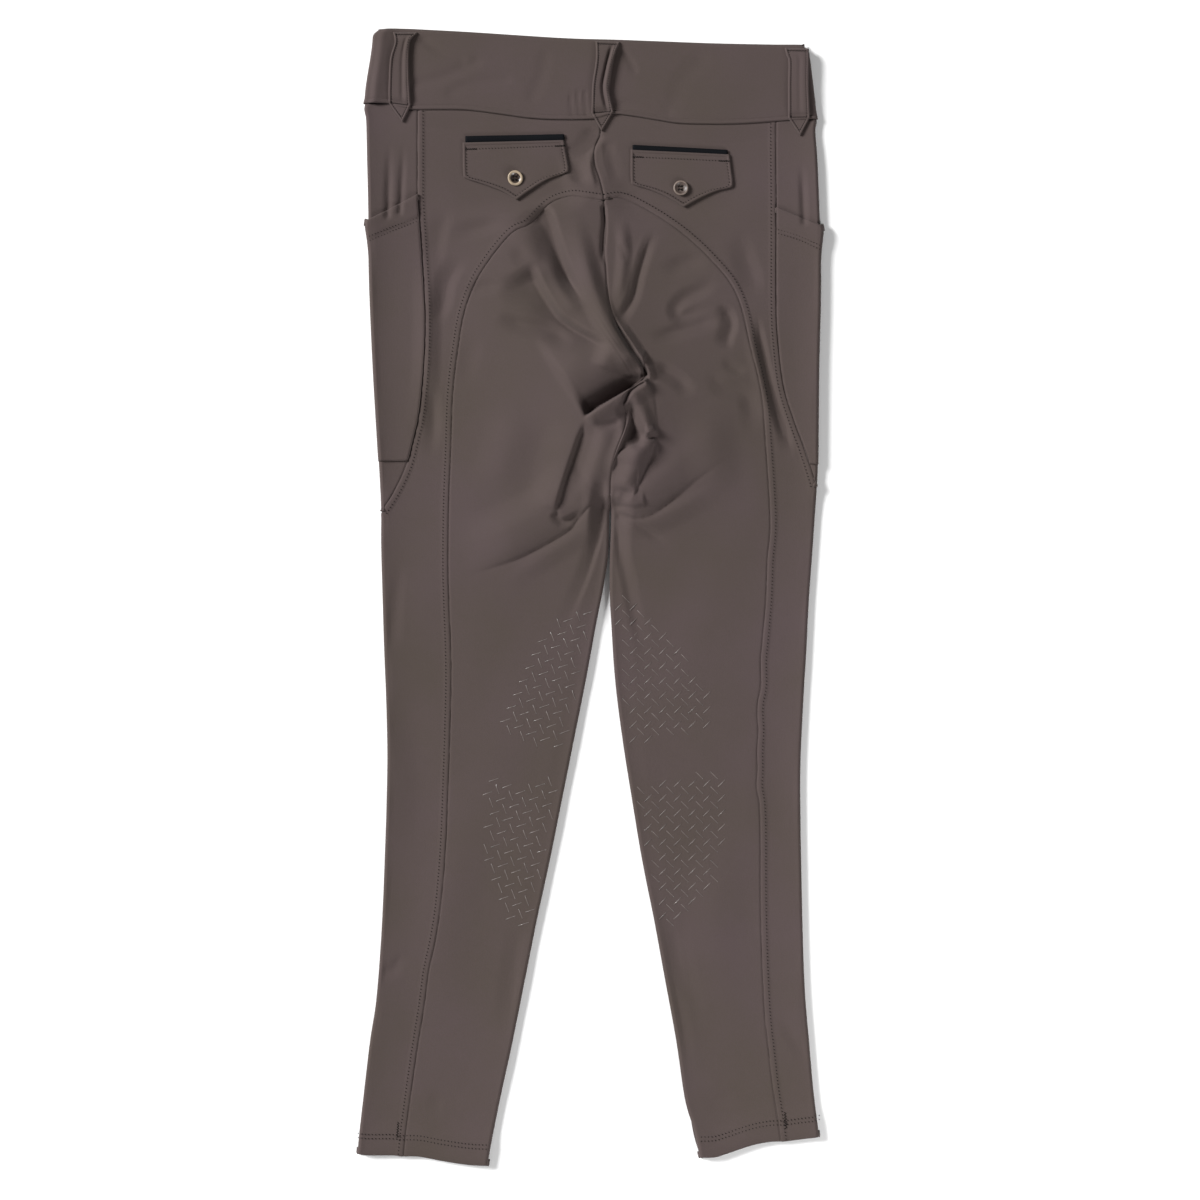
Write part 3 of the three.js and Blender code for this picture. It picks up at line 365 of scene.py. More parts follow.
def fold_field(x, y):
    """Lift of all the folds at points, and how far they push the cloth sideways."""
    lift, push = np.zeros(len(x)), np.zeros((len(x), 2))
    for name, row in FOLDS.items():
        fold = dict(zip(FOLD_COLUMNS, row))
        line = FOLD_LINES[name]
        reach = max(fold["port"], fold["starboard"])
        close = within(line, reach, x, y)
        if not len(close):
            continue
        distance, hand, share, way = near(line, x[close], y[close])
        width = np.where(hand > 0, fold["port"], fold["starboard"])
        profile = slope_off(clipped(distance / width), fold["crease"])
        if fold["fade_in"]:
            profile *= smooth(share / fold["fade_in"])
        if fold["fade_out"]:
            profile *= smooth((1 - share) / fold["fade_out"])
        lift[close] += fold["height"] * profile
        if fold["lean"]:
            push[close] += port_of(way) * (fold["lean"] * profile**2)[:, None]
    return lift, push


def edge_field(x, y):
    """Lift of the folded edges at points: a round shoulder that comes down steeply to its foot."""
    lift = np.zeros(len(x))
    for name, row in EDGES.items():
        fold = dict(zip(EDGE_COLUMNS, row))
        line = EDGE_LINES[name]
        close = within(line, fold["reach"], x, y)
        if not len(close):
            continue
        distance, hand, share, _ = near(line, x[close], y[close])
        beyond = (share <= 0) | (share >= 1)
        shoulder = clipped(1 - (1 - clipped(distance / fold["rise"])) ** 2) ** 0.65
        decay = 1 - smooth((distance - fold["rise"]) / (fold["reach"] - fold["rise"]))
        foot = -0.12 * bump(distance / 2.5)
        profile = np.where(hand == fold["raised"], shoulder * decay, foot)
        profile *= smooth(share / fold["fade_in"]) * smooth((1 - share) / fold["fade_out"])
        lift[close] += np.where(beyond, 0, fold["height"] * profile)
    return lift


SEAM_REACH = 16  # nothing of a seam shows this far from it
BAND_WIDTH = 6.4  # cloth raised by the seam's allowance


def seam_relief(line, x, y, band_hand=0, depth=0.65):
    """Ditch along a seam; on its band hand the cloth is raised to past its topstitch."""
    relief = np.zeros(len(x))
    close = np.flatnonzero(near(line[::6], x, y)[0] < SEAM_REACH)
    if not len(close):
        return relief
    distance, hand, _, _ = near(line, x[close], y[close])
    relief[close] = -depth * bump(distance / 0.8)
    if band_hand:
        raised = 0.4 * smooth((BAND_WIDTH - distance) / 1.8) - 0.15 * bump((distance - TOPSTITCH) / 0.5)
        relief[close] += np.where(hand == band_hand, raised, 0)
    return relief


def unevenness(x, y):
    """Low waves that no cloth laid by hand is without."""
    waves = ((61, 23, 0.4, 0.16), (-37, 71, 1.9, 0.14), (19, -43, 3.3, 0.10), (90, -131, 5.2, 0.12))
    return sum(size * np.sin((x / a + y / b) * 2 + phase) for a, b, phase, size in waves)


def swell_field(x, y):
    """Broad round lift of the layers below, none where the cloth is calm."""
    swell = sum(h * np.exp(-(((x - a) / w) ** 2) - ((y - b) / l) ** 2) for a, b, w, l, h in SWELLS)
    calm = np.ones(len(x))
    for a, b, w, l in CALM:
        calm = np.minimum(calm, smooth((((x - a) / w) ** 4 + ((y - b) / l) ** 4) ** 0.25 * 2 - 1.6))
    return swell, calm


POCKET_FOOT, POCKET_HEAD = 60, 410  # the outer edge is raised over the side pockets
EDGE_FALL = 16  # how fast the cloth comes down from an edge that goes round, and from the waist


def cloth_at(x, y, out=0.0, seams=True):
    """Where the upper layer's right side lies: x and y in, points out, with the folds' sideways push."""
    x, y = np.asarray(x, float).ravel(), np.asarray(y, float).ravel()
    left = x < across_at(LINES["centre"], np.maximum(y, 80))
    outer = [across_at(LINES[f"outer_{side}"], y) for side in SIDES]
    inner = [across_at(LINES[f"inner_{side}"], y) for side in SIDES]
    to_outer = np.maximum(np.where(left, x - outer[0], outer[1] - x) - ROLL, 0)
    to_inner = np.maximum(np.where(left, inner[0] - x, x - inner[1]) - ROLL, 0)
    below_waist = up_at(LINES["waist"], x) - y
    above_hem = np.where(left, y - up_at(LINES["hem_left"], x), y - up_at(LINES["hem_right"], x))
    leg = smooth((LEG_TOP - y) / 12)
    at_edge = smooth(to_outer / 5 + 0.2)

    # the round edges, the swell of the layers below, and the folds
    edge = 2 * ROLL - REST_TOP
    raised = POCKET_STEP * smooth((y - POCKET_FOOT) / 50) * smooth((POCKET_HEAD - y) / 55)
    sides = (edge + raised) * np.exp(-to_outer / EDGE_FALL) + leg * edge * np.exp(-to_inner / EDGE_FALL)
    free = smooth(to_outer / 34) * (1 - leg + leg * smooth(to_inner / 16))
    swell, calm = swell_field(x, y)
    lift, push = fold_field(x, y)
    lift += edge_field(x, y)
    z = REST_TOP + np.maximum(sides, clipped(1 - below_waist / EDGE_FALL))
    z = z + swell * free * smooth(below_waist / 40) * calm
    z += lift * at_edge * (0.35 + 0.65 * smooth(to_inner / 5 + 1 - leg)) * smooth(below_waist / 9)
    z += unevenness(x, y) * at_edge
    z = np.maximum(z, LOWEST + GIVE * (z - LOWEST))

    # the thicker hem and its rows, and the seams
    z += 1.4 * smooth((HEM_DEPTH + 14 - above_hem) / 14) + 0.7 * smooth((HEM_DEPTH + 1.2 - above_hem) / 2)
    for row in HEM_ROWS:
        z -= 0.35 * bump((above_hem - HEM_DEPTH + row) / 0.55)
    if seams:
        z -= 0.8 * bump(below_waist - 0.2)
        z += seam_relief(LINES["centre"], x, y, depth=1.0) * (1 - leg)
        for side, sign in SIDES.items():
            z += seam_relief(LINES[f"hip_{side}"], x, y, -sign)
            z += seam_relief(LINES[f"seat_{side}"], x, y, sign)
    points = np.column_stack([x, y, z + out])
    points[:, :2] += push * (1 - leg * 0.5)[:, None]
    return points


# Materials
def socket(node, name, value):
    node.inputs[name].default_value = value


def new_material(name):
    """A material, its node tree, its shader and the object's own coordinates."""
    material = bpy.data.materials.new(name)
    material.use_nodes = True
    tree = material.node_tree
    place = tree.nodes.new("ShaderNodeTexCoord").outputs["Object"]
    return material, tree, tree.nodes["Principled BSDF"], place


def texture(tree, place, kind, **values):
    node = tree.nodes.new(kind)
    for name, value in values.items():
        socket(node, name, value)
    tree.links.new(place, node.inputs["Vector"])
    return node.outputs["Fac"]


def between(tree, factor, shader, *stops):
    """Colour the shader by a factor that goes from one tone to another."""
    ramp = tree.nodes.new("ShaderNodeValToRGB")
    for element, (position, colour) in zip(ramp.color_ramp.elements, stops):
        element.position = position
        element.color = (*colour, 1)
    tree.links.new(factor, ramp.inputs["Fac"])
    tree.links.new(ramp.outputs["Color"], shader.inputs["Base Color"])


def total(tree, a, b, share=1.0):
    """One factor times a share, plus another."""
    node = tree.nodes.new("ShaderNodeMath")
    node.operation = "MULTIPLY_ADD"
    node.inputs[1].default_value = share
    tree.links.new(a, node.inputs[0])
    tree.links.new(b, node.inputs[2])
    return node.outputs[0]


def fabric(name, colour, other, roughness=0.85, sheen=0.25, gloss=0.15):
    """Fine matt knit: two close tones in soft clouds, a fine rib and a fine grain."""
    material, tree, shader, place = new_material(name)
    clouds = texture(tree, place, "ShaderNodeTexNoise", Scale=9, Detail=3)
    grain = texture(tree, place, "ShaderNodeTexNoise", Scale=900, Detail=2)
    between(tree, total(tree, grain, clouds, 0.45), shader, (0.5, colour), (0.95, other))
    rib = texture(tree, place, "ShaderNodeTexWave", Scale=620, Distortion=1.5)
    relief = tree.nodes.new("ShaderNodeBump")
    socket(relief, "Strength", 0.35)
    socket(relief, "Distance", 0.0002)
    tree.links.new(total(tree, rib, grain), relief.inputs["Height"])
    tree.links.new(relief.outputs["Normal"], shader.inputs["Normal"])
    socket(shader, "Roughness", roughness)
    socket(shader, "Sheen Weight", sheen)
    socket(shader, "Sheen Roughness", 0.5)
    socket(shader, "Specular IOR Level", gloss)
    return material


def glossy(name, colour, other, scale, roughness, coat=0.0):
    """Smooth mottled plastic or silicone."""
    material, tree, shader, place = new_material(name)
    mottle = texture(tree, place, "ShaderNodeTexNoise", Scale=scale, Detail=4)
    between(tree, mottle, shader, (0.35, colour), (0.65, other))
    socket(shader, "Roughness", roughness)
    socket(shader, "Coat Weight", coat)
    return material


TAUPE = fabric("taupe_softshell", (0.060, 0.046, 0.039), (0.069, 0.050, 0.050), sheen=0.05)
# The stitch thread is cloth-toned taupe; its near-black colour here is painted shade of the stitch dents
THREAD_PAINTED_SHADE = fabric("thread_painted_shade", (0.006, 0.0045, 0.004), (0.010, 0.008, 0.007), sheen=0.0)
TACK = fabric("dark_thread", (0.005, 0.004, 0.0035), (0.009, 0.007, 0.006), sheen=0.0)
SATIN = fabric("black_satin", (0.003, 0.0035, 0.0045), (0.005, 0.0055, 0.007), 0.7, sheen=0.0, gloss=0.05)
# Both buttons are the same horn; the left rim's paler tone is a painted highlight, light caught by its tilt
RIM = {
    "left": glossy("horn_painted_highlight", (0.27, 0.21, 0.15), (0.37, 0.29, 0.20), 260, 0.5),
    "right": glossy("taupe_horn", (0.10, 0.075, 0.062), (0.16, 0.12, 0.10), 260, 0.5),
}
DISH = {
    "left": glossy("dark_horn", (0.018, 0.011, 0.008), (0.040, 0.026, 0.020), 260, 0.35, coat=0.2),
    "right": glossy("brown_horn", (0.045, 0.031, 0.026), (0.070, 0.050, 0.042), 260, 0.45),
}
SILICONE = glossy("clear_silicone", (0.095, 0.078, 0.072), (0.15, 0.125, 0.115), 160, 0.35, coat=0.3)


# Meshes
def mesh_piece(name, points, faces, material, thickness=0.0):
    """An object from points. A thickness makes it a shell that grows inwards but not below the surface."""
    points = np.asarray(points, float).reshape(-1, 3) + (*SHIFT, 0)
    mesh = bpy.data.meshes.new(name)
    mesh.from_pydata((points / PER_METRE).tolist(), [], [list(map(int, f)) for f in faces])
    mesh.polygons.foreach_set("use_smooth", [True] * len(mesh.polygons))
    mesh.materials.append(material)
    mesh.update()
    if thickness:
        normals = np.empty(points.size, np.float32)
        mesh.vertex_normals.foreach_get("vector", normals)
        points[:, 2] -= np.minimum(points[:, 2] - thickness * normals[2::3], 0)
        mesh.vertices.foreach_set("co", (points / PER_METRE).ravel())
        mesh.update()
    piece = bpy.data.objects.new(name, mesh)
    bpy.context.scene.collection.objects.link(piece)
    if thickness:
        shell = piece.modifiers.new("shell", "SOLIDIFY")
        shell.thickness = thickness / PER_METRE
        shell.offset = -1
    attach(piece, "root")
    return piece


def grid_faces(rows, columns, ring=False, flip=False):
    """Four-sided faces between rows of points; a ring closes each row on itself."""
    r, c = np.meshgrid(np.arange(rows - 1), np.arange(columns if ring else columns - 1), indexing="ij")
    a, b = r * columns + c, r * columns + (c + 1) % columns
    faces = np.stack([a, b, b + columns, a + columns], axis=-1).reshape(-1, 4)
    return faces[:, ::-1] if flip else faces


def cloth_piece(name, node, points, flip=False, ring=False, thickness=CLOTH,
                material=TAUPE):
    """A sheet of cloth from rows of points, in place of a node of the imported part."""
    piece = mesh_piece(name, points, grid_faces(*points.shape[:2], ring, flip), material, thickness)
    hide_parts(node)


def rails(outer, inner, marks):
    """Pairs of points on two lines, matched at marks: a layout point on each, and the rows to the next."""
    pairs = []
    for line, column in ((outer, 0), (inner, 1)):
        length = length_along(line)
        stops = [length[((line - laid([m[column]])) ** 2).sum(1).argmin()] for m in marks]
        spans = [np.linspace(a, b, m[2], endpoint=False) for a, b, m in zip(stops, stops[1:], marks)]
        at = np.concatenate([*spans, [stops[-1]]])
        pairs.append(np.column_stack([np.interp(at, length, line[:, k]) for k in (0, 1)]))
    return pairs


NEAR_SEAM = np.array([0, 0.3, 0.7, 1.2, 1.9, 2.8, 3.6, 4.1, 4.5, 4.9, 5.5, 6.5, 8.0])
TURN_STEPS = 9
TUCK = (0.06, 0.9)  # how far an edge goes into a seam, and how deep
LIP = 3.0  # how far an edge lies back under the sheet
HEM_EDGE = 2.2  # thickness of the hem's fold
HEM_BULGE = 1.1
HEM_BACK = 4.0  # how far the hem's lip lies back under the sheet
RUN_ON = 0.2  # how far a hem runs on where it already lies on the surface


def away(rail, other):
    """Unit steps off a rail, pointing away from the other rail."""
    normal = unit(port_of(np.gradient(rail, axis=0)))
    facing = ((rail - other) * normal).sum(1)
    return normal * np.where(facing >= 0, 1, -1)[:, None]


def turned_edge(edge, normal, weight):
    """Columns past the edge of a sheet: round to the underside at weight 1, tucked into the seam at 0."""
    columns = []
    w = weight[:, None]
    plan, top = edge[:, :2], edge[:, 2:]
    for k in range(1, TURN_STEPS + 1):
        angle = math.pi * k / TURN_STEPS
        round_xy = plan + normal * ROLL * math.sin(angle)
        round_z = top * (1 + math.cos(angle)) / 2
        tuck_xy = plan + normal * TUCK[0] * k / TURN_STEPS
        tuck_z = top - TUCK[1] * k / TURN_STEPS
        columns.append(np.hstack([round_xy * w + tuck_xy * (1 - w), round_z * w + tuck_z * (1 - w)]))
    last = columns[-1]
    columns.append(np.hstack([last[:, :2] - normal * LIP * w, last[:, 2:]]))
    return np.stack(columns, axis=1)


def hem_rows(last, before, depth):
    """Rows that turn a hem's edge under; where the edge already lies on the surface they run on a little."""
    way = unit(last[:, :2] - before[:, :2])
    turned = clipped(last[:, 2:] / depth)
    rows = []
    for turn in np.linspace(0, 1, 6)[1:]:
        sink = np.minimum(depth, last[:, 2]) * (1 - math.cos(math.pi * turn)) / 2
        forward = HEM_BULGE * math.sin(math.pi * turn) * turned + RUN_ON * turn * (1 - turned)
        rows.append(np.column_stack([last[:, :2] + way * forward, last[:, 2] - sink]))
    forward = 2 * RUN_ON * (1 - turned) - HEM_BACK * turned
    rows.append(np.column_stack([last[:, :2] + way * forward, rows[-1][:, 2]]))
    return np.stack(rows)


def level_ends(plan, top, hem):
    """Shift the first and last rows so that they follow the waist seam and the hem."""
    for line, row, lift in ((top, 0, 0.8), (hem, -1, 0.0)):
        if line is not None:
            off = up_at(line, plan[row, :, 0]) + lift - plan[row, :, 1]
            plan[..., 1] += off * (1 - smooth(abs(plan[..., 1] - plan[row, :, 1]) / 40))
    return plan


def sheet_panel(outer, inner, marks, middle, turn_outer, turn_inner, out=0.0, top=None, end=None, crowd=0.0):
    """Points of a panel of the upper layer between two rails. Its middle has so many columns, which may be
    crowded towards the inner rail. The turns are functions of y, 1 where the edge goes round."""
    pair = rails(outer, inner, marks)
    weight = [turn(rail[:, 1]) for turn, rail in zip((turn_outer, turn_inner), pair)]
    normals = [away(*pair), away(*pair[::-1])]
    start, finish = (rail - n * (ROLL * w)[:, None] for rail, n, w in zip(pair, normals, weight))
    span = np.linalg.norm(finish - start, axis=1)
    scale = np.minimum(1, 0.4 * span / NEAR_SEAM[-1])
    near_start = NEAR_SEAM[None] * scale[:, None]
    inside = np.linspace(0, 1, middle + 2)[1:-1]
    inside = inside + crowd * inside * (1 - inside)
    first, final = near_start[:, -1:], span[:, None] - near_start[:, -1:]
    across = np.hstack([near_start, first + (final - first) * inside, span[:, None] - near_start[:, ::-1]])
    share = across / np.maximum(span, 1e-9)[:, None]
    plan = start[:, None] + (finish - start)[:, None] * share[..., None]
    plan = level_ends(plan, top, end)
    points = cloth_at(plan[..., 0], plan[..., 1], out).reshape(*plan.shape[:2], 3)
    before = turned_edge(points[:, 0], normals[0], weight[0])[:, ::-1]
    after = turned_edge(points[:, -1], normals[1], weight[1])
    points = np.concatenate([before, points, after], axis=1)
    if end is not None:
        points = np.concatenate([points, hem_rows(points[-1], points[-3], HEM_EDGE)])
    return points


def marked(pairs, rows):
    return [(*pair, count) for pair, count in zip(pairs, rows)]


def cut_line(line, first, last):
    """The stretch of a line between the points nearest to two layout points."""
    a, b = (((line - laid([p])) ** 2).sum(1).argmin() for p in (first, last))
    return line[a : b + 1]


def joined(*lines):
    return resample(np.vstack(lines), 1.0)


def always(y):
    return np.ones(len(y))


def never(y):
    return np.zeros(len(y))


PANELS = {
    "left": {
        "hip_flat": (0.19, 0.88),
        "areas": {"hip": 0.058, "seat": 0.094, "yoke": 0.0168, "pocket": 0.0119, "front": 0.137},
        "hip_end": (380.8, 512),
        "waist_outer": (417.7, 110.2),
        "waist_side": (366.2, 104),
        "waist_centre": (600.8, 118),
        "hem_outer": (357.6, 1152),
        "hem_seam": (403.6, 1155),
        "hem_inner": (488.6, 1163.5),
        "hip_marks": [((417.7, 148), (604, 200.5)), ((417.7, 172), (560, 198.5)),
                      ((418.5, 215), (516.4, 230.5)), ((421.5, 262), (489, 261)),
                      ((424, 335), (464.4, 313))],
        "seat_marks": [((550, 203.5), (606.4, 228)), ((489, 261), (606, 268)), ((458.3, 348), (624.3, 341))],
    },
    "right": {
        "hip_flat": (0.17, 0.87),
        "areas": {"hip": 0.048, "seat": 0.09, "yoke": 0.0129, "pocket": 0.0094, "front": 0.124},
        "hip_end": (816.2, 487),
        "waist_outer": (776, 121.3),
        "waist_side": (816, 119.5),
        "waist_centre": (600.8, 118),
        "hem_outer": (819.6, 1134),
        "hem_seam": (781, 1140),
        "hem_inner": (700, 1156),
        "hip_marks": [((776, 148), (604, 200.5)), ((776.2, 174), (640, 205)), ((776.4, 215), (681, 232)),
                      ((776.4, 262), (715, 264)), ((778, 335), (736, 293))],
        "seat_marks": [((658, 216), (606.4, 228)), ((715, 264), (606, 268)), ((750, 345), (624.3, 341))],
    },
}
BELOW = {"left": ((383, 600), (449, 600), (600, 600)), "right": ((809, 600), (766, 600), (610, 600))}
SEAT_START = {"left": ((602, 200.2), (604, 201.6)), "right": ((606, 199.9), (604, 201.6))}
LEG_START = (610, 515)
HIP_ROWS = (46, 24, 26, 26, 34, 60, 110, 0)  # rows of points from each mark to the next
SEAT_ROWS = (22, 38, 46, 162, 92, 0)
YOKE_ROWS = (110, 0)
HIP_COLUMNS, SEAT_COLUMNS, YOKE_COLUMNS, POCKET_COLUMNS = 32, 80, 14, 22
SEAT_CROWD = 0.45


def leg_turn(y):
    """1 where the leg's inner edge goes round to the underside, below the crotch."""
    return smooth((laid([(0, 500)])[0, 1] - y) / 8)


def build_side(side):
    """Hip and outer leg, full seat and inner leg, and the hip yoke."""
    spec = PANELS[side]
    flip = side == "left"
    outline, hip, seat = (LINES[f"{kind}_{side}"] for kind in ("outer", "hip", "seat"))
    hip_y = laid([spec["hip_end"]])[0, 1]
    outer_below = cut_line(outline, spec["hip_end"], spec["hem_outer"])
    hip_down = cut_line(hip, spec["waist_outer"], spec["hip_end"])
    seat_down = cut_line(seat, APEX, spec["hem_seam"])
    centre_top = cut_line(LINES["centre"], spec["waist_centre"], APEX)
    centre_low = cut_line(LINES["centre"], APEX, CROTCH)
    leg_low = cut_line(LINES[f"inner_{side}"], LEG_START, spec["hem_inner"])
    below_outer, below_seam, below_inner = BELOW[side]
    hem = LINES[f"hem_{side}"]

    pairs = [(spec["waist_outer"], spec["waist_centre"]), *spec["hip_marks"]]
    pairs += [(below_outer, below_seam), (spec["hem_outer"], spec["hem_seam"])]
    rail_outer, rail_inner = joined(hip_down, outer_below), joined(centre_top, seat_down)

    def below_hip(y):
        return smooth((hip_y + 4 - y) / 10)

    marks = marked(pairs, HIP_ROWS)
    waist = LINES["waist"]
    points = sheet_panel(rail_outer, rail_inner, marks, HIP_COLUMNS, below_hip, never, top=waist, end=hem)
    name, node = f"{side}_back_hip_and_leg", f"hip_leg_panel_{side}"
    cloth_piece(name, node, points, flip)

    pairs = [SEAT_START[side], *spec["seat_marks"]]
    pairs += [(below_seam, below_inner), (spec["hem_seam"], spec["hem_inner"])]
    marks = marked(pairs, SEAT_ROWS)
    rail_outer, rail_inner = seat_down[1:], joined(centre_low, leg_low)
    points = sheet_panel(
        rail_outer, rail_inner, marks, SEAT_COLUMNS, never, leg_turn, end=hem, crowd=SEAT_CROWD
    )
    name, node = f"{side}_full_seat_and_inner_leg", f"seat_leg_panel_{side}"
    cloth_piece(name, node, points, flip)

    outline_top = cut_line(outline, spec["waist_side"], spec["hip_end"])
    marks = marked([(spec["waist_side"], spec["waist_outer"]), (spec["hip_end"],) * 2], YOKE_ROWS)
    points = sheet_panel(outline_top, hip_down, marks, YOKE_COLUMNS, always, never, top=waist)
    cloth_piece(f"{side}_hip_yoke", f"side_panel_{side}", points, flip)


for side in SIDES:
    build_side(side)


# Side pockets, one layer outside the hip yoke
POCKETS = {
    "left": {
        "mouth": ((364.5, 221.5), (417.6, 196.3)),
        "bottom": ((379.3, 461), (407.3, 461)),
        "hems": ([(368.5, 237.5), (393, 227), (417.6, 217.6)], [(369, 241.8), (393, 231), (417.7, 221.3)]),
    },
    "right": {
        "mouth": ((823, 226.5), (776.6, 209)),
        "bottom": ((818, 464), (809.5, 464)),
        "hems": ([(777, 229.5), (798, 236), (820.5, 246.5)], [(777, 233.3), (798, 240), (820.5, 250.5)]),
    },
}


def pocket_lift(x, y, spec):
    """A pocket's turned mouth is thicker, is stitched down twice, and stands off the yoke."""
    low, high = laid(spec["mouth"])
    distance = near(np.array([low, high]), x, y)[0]
    lift = 0.7 * smooth((15.6 - distance) / 1.5) + 0.7 * smooth((14 - distance) / 14)
    for line in spec["hems"]:
        lift -= 0.4 * bump(near(curve(line), x, y)[0] / 0.55)
    return lift


def build_pocket(side):
    """A sheet like the yoke's, one layer further out, with a turned mouth."""
    spec = POCKETS[side]
    (mouth_outer, mouth_inner), (low_outer, low_inner) = spec["mouth"], spec["bottom"]
    outer = cut_line(LINES[f"outer_{side}"], mouth_outer, low_outer).copy()
    down = (outer[0, 1] - outer[:, 1]) / 26
    outer[:, 0] += SIDES[side] * (0.4 + 2.6 * clipped(1 - abs(down - 0.2)) ** 1.5)
    inner = cut_line(LINES[f"hip_{side}"], mouth_inner, low_inner)
    marks = marked([spec["mouth"], spec["bottom"]], YOKE_ROWS)
    points = sheet_panel(outer, inner, marks, POCKET_COLUMNS, always, never, out=POCKET_STEP)
    flat = points.reshape(-1, 3)
    on_top = flat[:, 2] > REST_TOP + 0.1
    flat[:, 2] += np.where(on_top, pocket_lift(flat[:, 0], flat[:, 1], spec), 0)
    points = np.concatenate([hem_rows(points[0], points[2], 2.0)[::-1], points])
    name, node = f"{side}_side_pocket", f"side_pocket_{side}"
    cloth_piece(name, node, points, side == "left")


FRONT_MIDDLE = 13.75  # x where the two fronts meet


def build_front(side, sign):
    """The hidden front of the leg, flat on the surface inside the turned edges."""
    heights = np.concatenate([np.linspace(401, 84, 40), np.linspace(78, -445, 70)])
    hem = LINES[f"hem_{side}"]
    inset = sign * (ROLL + LIP + 0.3)
    outer = across_at(LINES[f"outer_{side}"], heights) - inset
    middle = np.full(len(heights), FRONT_MIDDLE) + sign * 0.2
    inner = np.where(heights > 82, middle, across_at(LINES[f"inner_{side}"], heights) + inset)
    x = outer[:, None] + (inner - outer)[:, None] * np.linspace(0, 1, 40)
    end = up_at(hem, x[-1]) + 0.6
    top = up_at(LINES["waist"], x[0]) - 0.3
    y = np.repeat(heights[:, None], x.shape[1], axis=1)
    fade_low = smooth((heights + 300) / -145)[:, None]
    fade_top = smooth((heights - 300) / 101)[:, None]
    y = y + fade_low * (end - heights[-1]) + fade_top * (top - heights[0])
    thick = CLOTH + 0.9 * smooth((up_at(hem, x.ravel()).reshape(x.shape) + 18 - y) / 2)
    points = np.stack([x, y, thick], axis=-1)
    name, node = f"{side}_front_leg", f"front_panel_{side}"
    cloth_piece(name, node, points, side == "left", thickness=1.15)


# Waistband
BAND_FOLDS = (
    # line, height, reach to port and starboard
    ([(366, 30), (365, 70), (362, 106)], 3.4, 26, 26),
    ([(424, 40), (440, 52), (462, 60)], -0.8, 5, 6),
    ([(412, 84), (440, 78), (475, 62)], -0.7, 7, 9),
    ([(452, 92), (470, 84), (505, 80)], -0.5, 8, 8),
    ([(570, 96), (571.5, 106), (572, 115)], -0.9, 1.8, 1.8),
    ([(577.5, 93), (578.5, 104), (579, 115)], -0.9, 1.8, 1.8),
    ([(585, 92), (585.5, 103), (586, 115)], -1.0, 2.0, 2.0),
    ([(545, 58), (541, 76), (533, 96)], -0.5, 9, 9),
    ([(620, 50), (628, 58), (634, 70)], -0.8, 5, 5),
    ([(612, 103), (640, 104), (668, 112)], -0.6, 6, 6),
    ([(700, 60), (680, 84), (672, 108)], -0.4, 12, 12),
)
BAND_LOOPS = {
    "left": {
        "left": [(393.2, 32.6), (395, 43), (391.5, 55), (390, 64), (389, 85), (388.8, 103.5)],
        "right": [(418, 33), (411.5, 40), (409.6, 48), (409.2, 65), (410, 85), (411, 106)],
        "tip": (402.6, 122.5),
        "crease": [(0.0, 0.3), (0.3, 0.3), (1.0, 0.25)],
        "depth": 0.8,
    },
    "centre": {
        "left": [(595.5, 41.5), (596, 55), (595.2, 66), (592.3, 86), (591.3, 113.5)],
        "right": [(620, 42.5), (615.5, 54), (612.7, 66.5), (610.4, 82), (609.6, 93), (613.6, 112)],
        "tip": (601.6, 131.5),
        "crease": [(0.0, 0.5), (0.35, 0.25), (0.6, 0.15), (1.0, 0.5)],
        "depth": 2.4,
    },
    "right": {
        "left": [(784.5, 48.5), (786, 56), (788, 62), (787.8, 86), (787.9, 118)],
        "right": [(808.6, 49.4), (808.4, 62), (808.2, 86), (809.6, 118)],
        "tip": (800, 136.4),
        "crease": [(0.0, 0.1), (1.0, 0.1)],
        "depth": 0.4,
    },
}


def band_at(x, y):
    """Where the band's right side lies."""
    x, y = np.asarray(x, float).ravel(), np.asarray(y, float).ravel()
    low, high = up_at(LINES["waist"], x), up_at(LINES["band_top"], x)
    share = clipped((y - low) / (high - low))
    left, right = band_sides(share)
    inside = np.maximum(np.minimum(x - left, right - x) - BAND_ROLL, 0)
    z = BAND_TOP + 1.4 * (1 - smooth(inside / 20))
    up, down = y - low, high - y
    for line, height, port, starboard in BAND_FOLDS:
        distance, hand, _, _ = near(curve(line, 3), x, y)
        v = clipped(distance / np.where(hand > 0, port, starboard))
        z += height * slope_off(v, 0) * smooth(inside / 6)
    z += 0.55 * bump((up - 1.7) / 1.3) - 0.35 * bump((up - 3.7) / 0.7) - 0.9 * bump((up + 0.1) / 0.5)
    z -= 0.9 * (1 - smooth(down / 2.2)) ** 2
    z += 0.7 * unevenness(x, y)
    return np.column_stack([x, y, z])


def band_sides(share):
    """Where the band's ends turn, at shares of its height from the waist seam."""
    left = (364.4 + (372.6 - 364.4) * smooth(share * 1.02)) - 1.2 * bump(share / 0.05)
    right = (817.0 + (808.6 - 817.0) * share**1.15) + 0.8 * bump(share / 0.08)
    rounding = 5.5 * clipped((share - 0.9) / 0.1) ** 2.5
    return (left + rounding - MIDDLE[0]) * STEP, (right - rounding - MIDDLE[0]) * STEP


BAND_FOLD_LEVEL = 2.4  # the fold's front half is above this level, its back half below


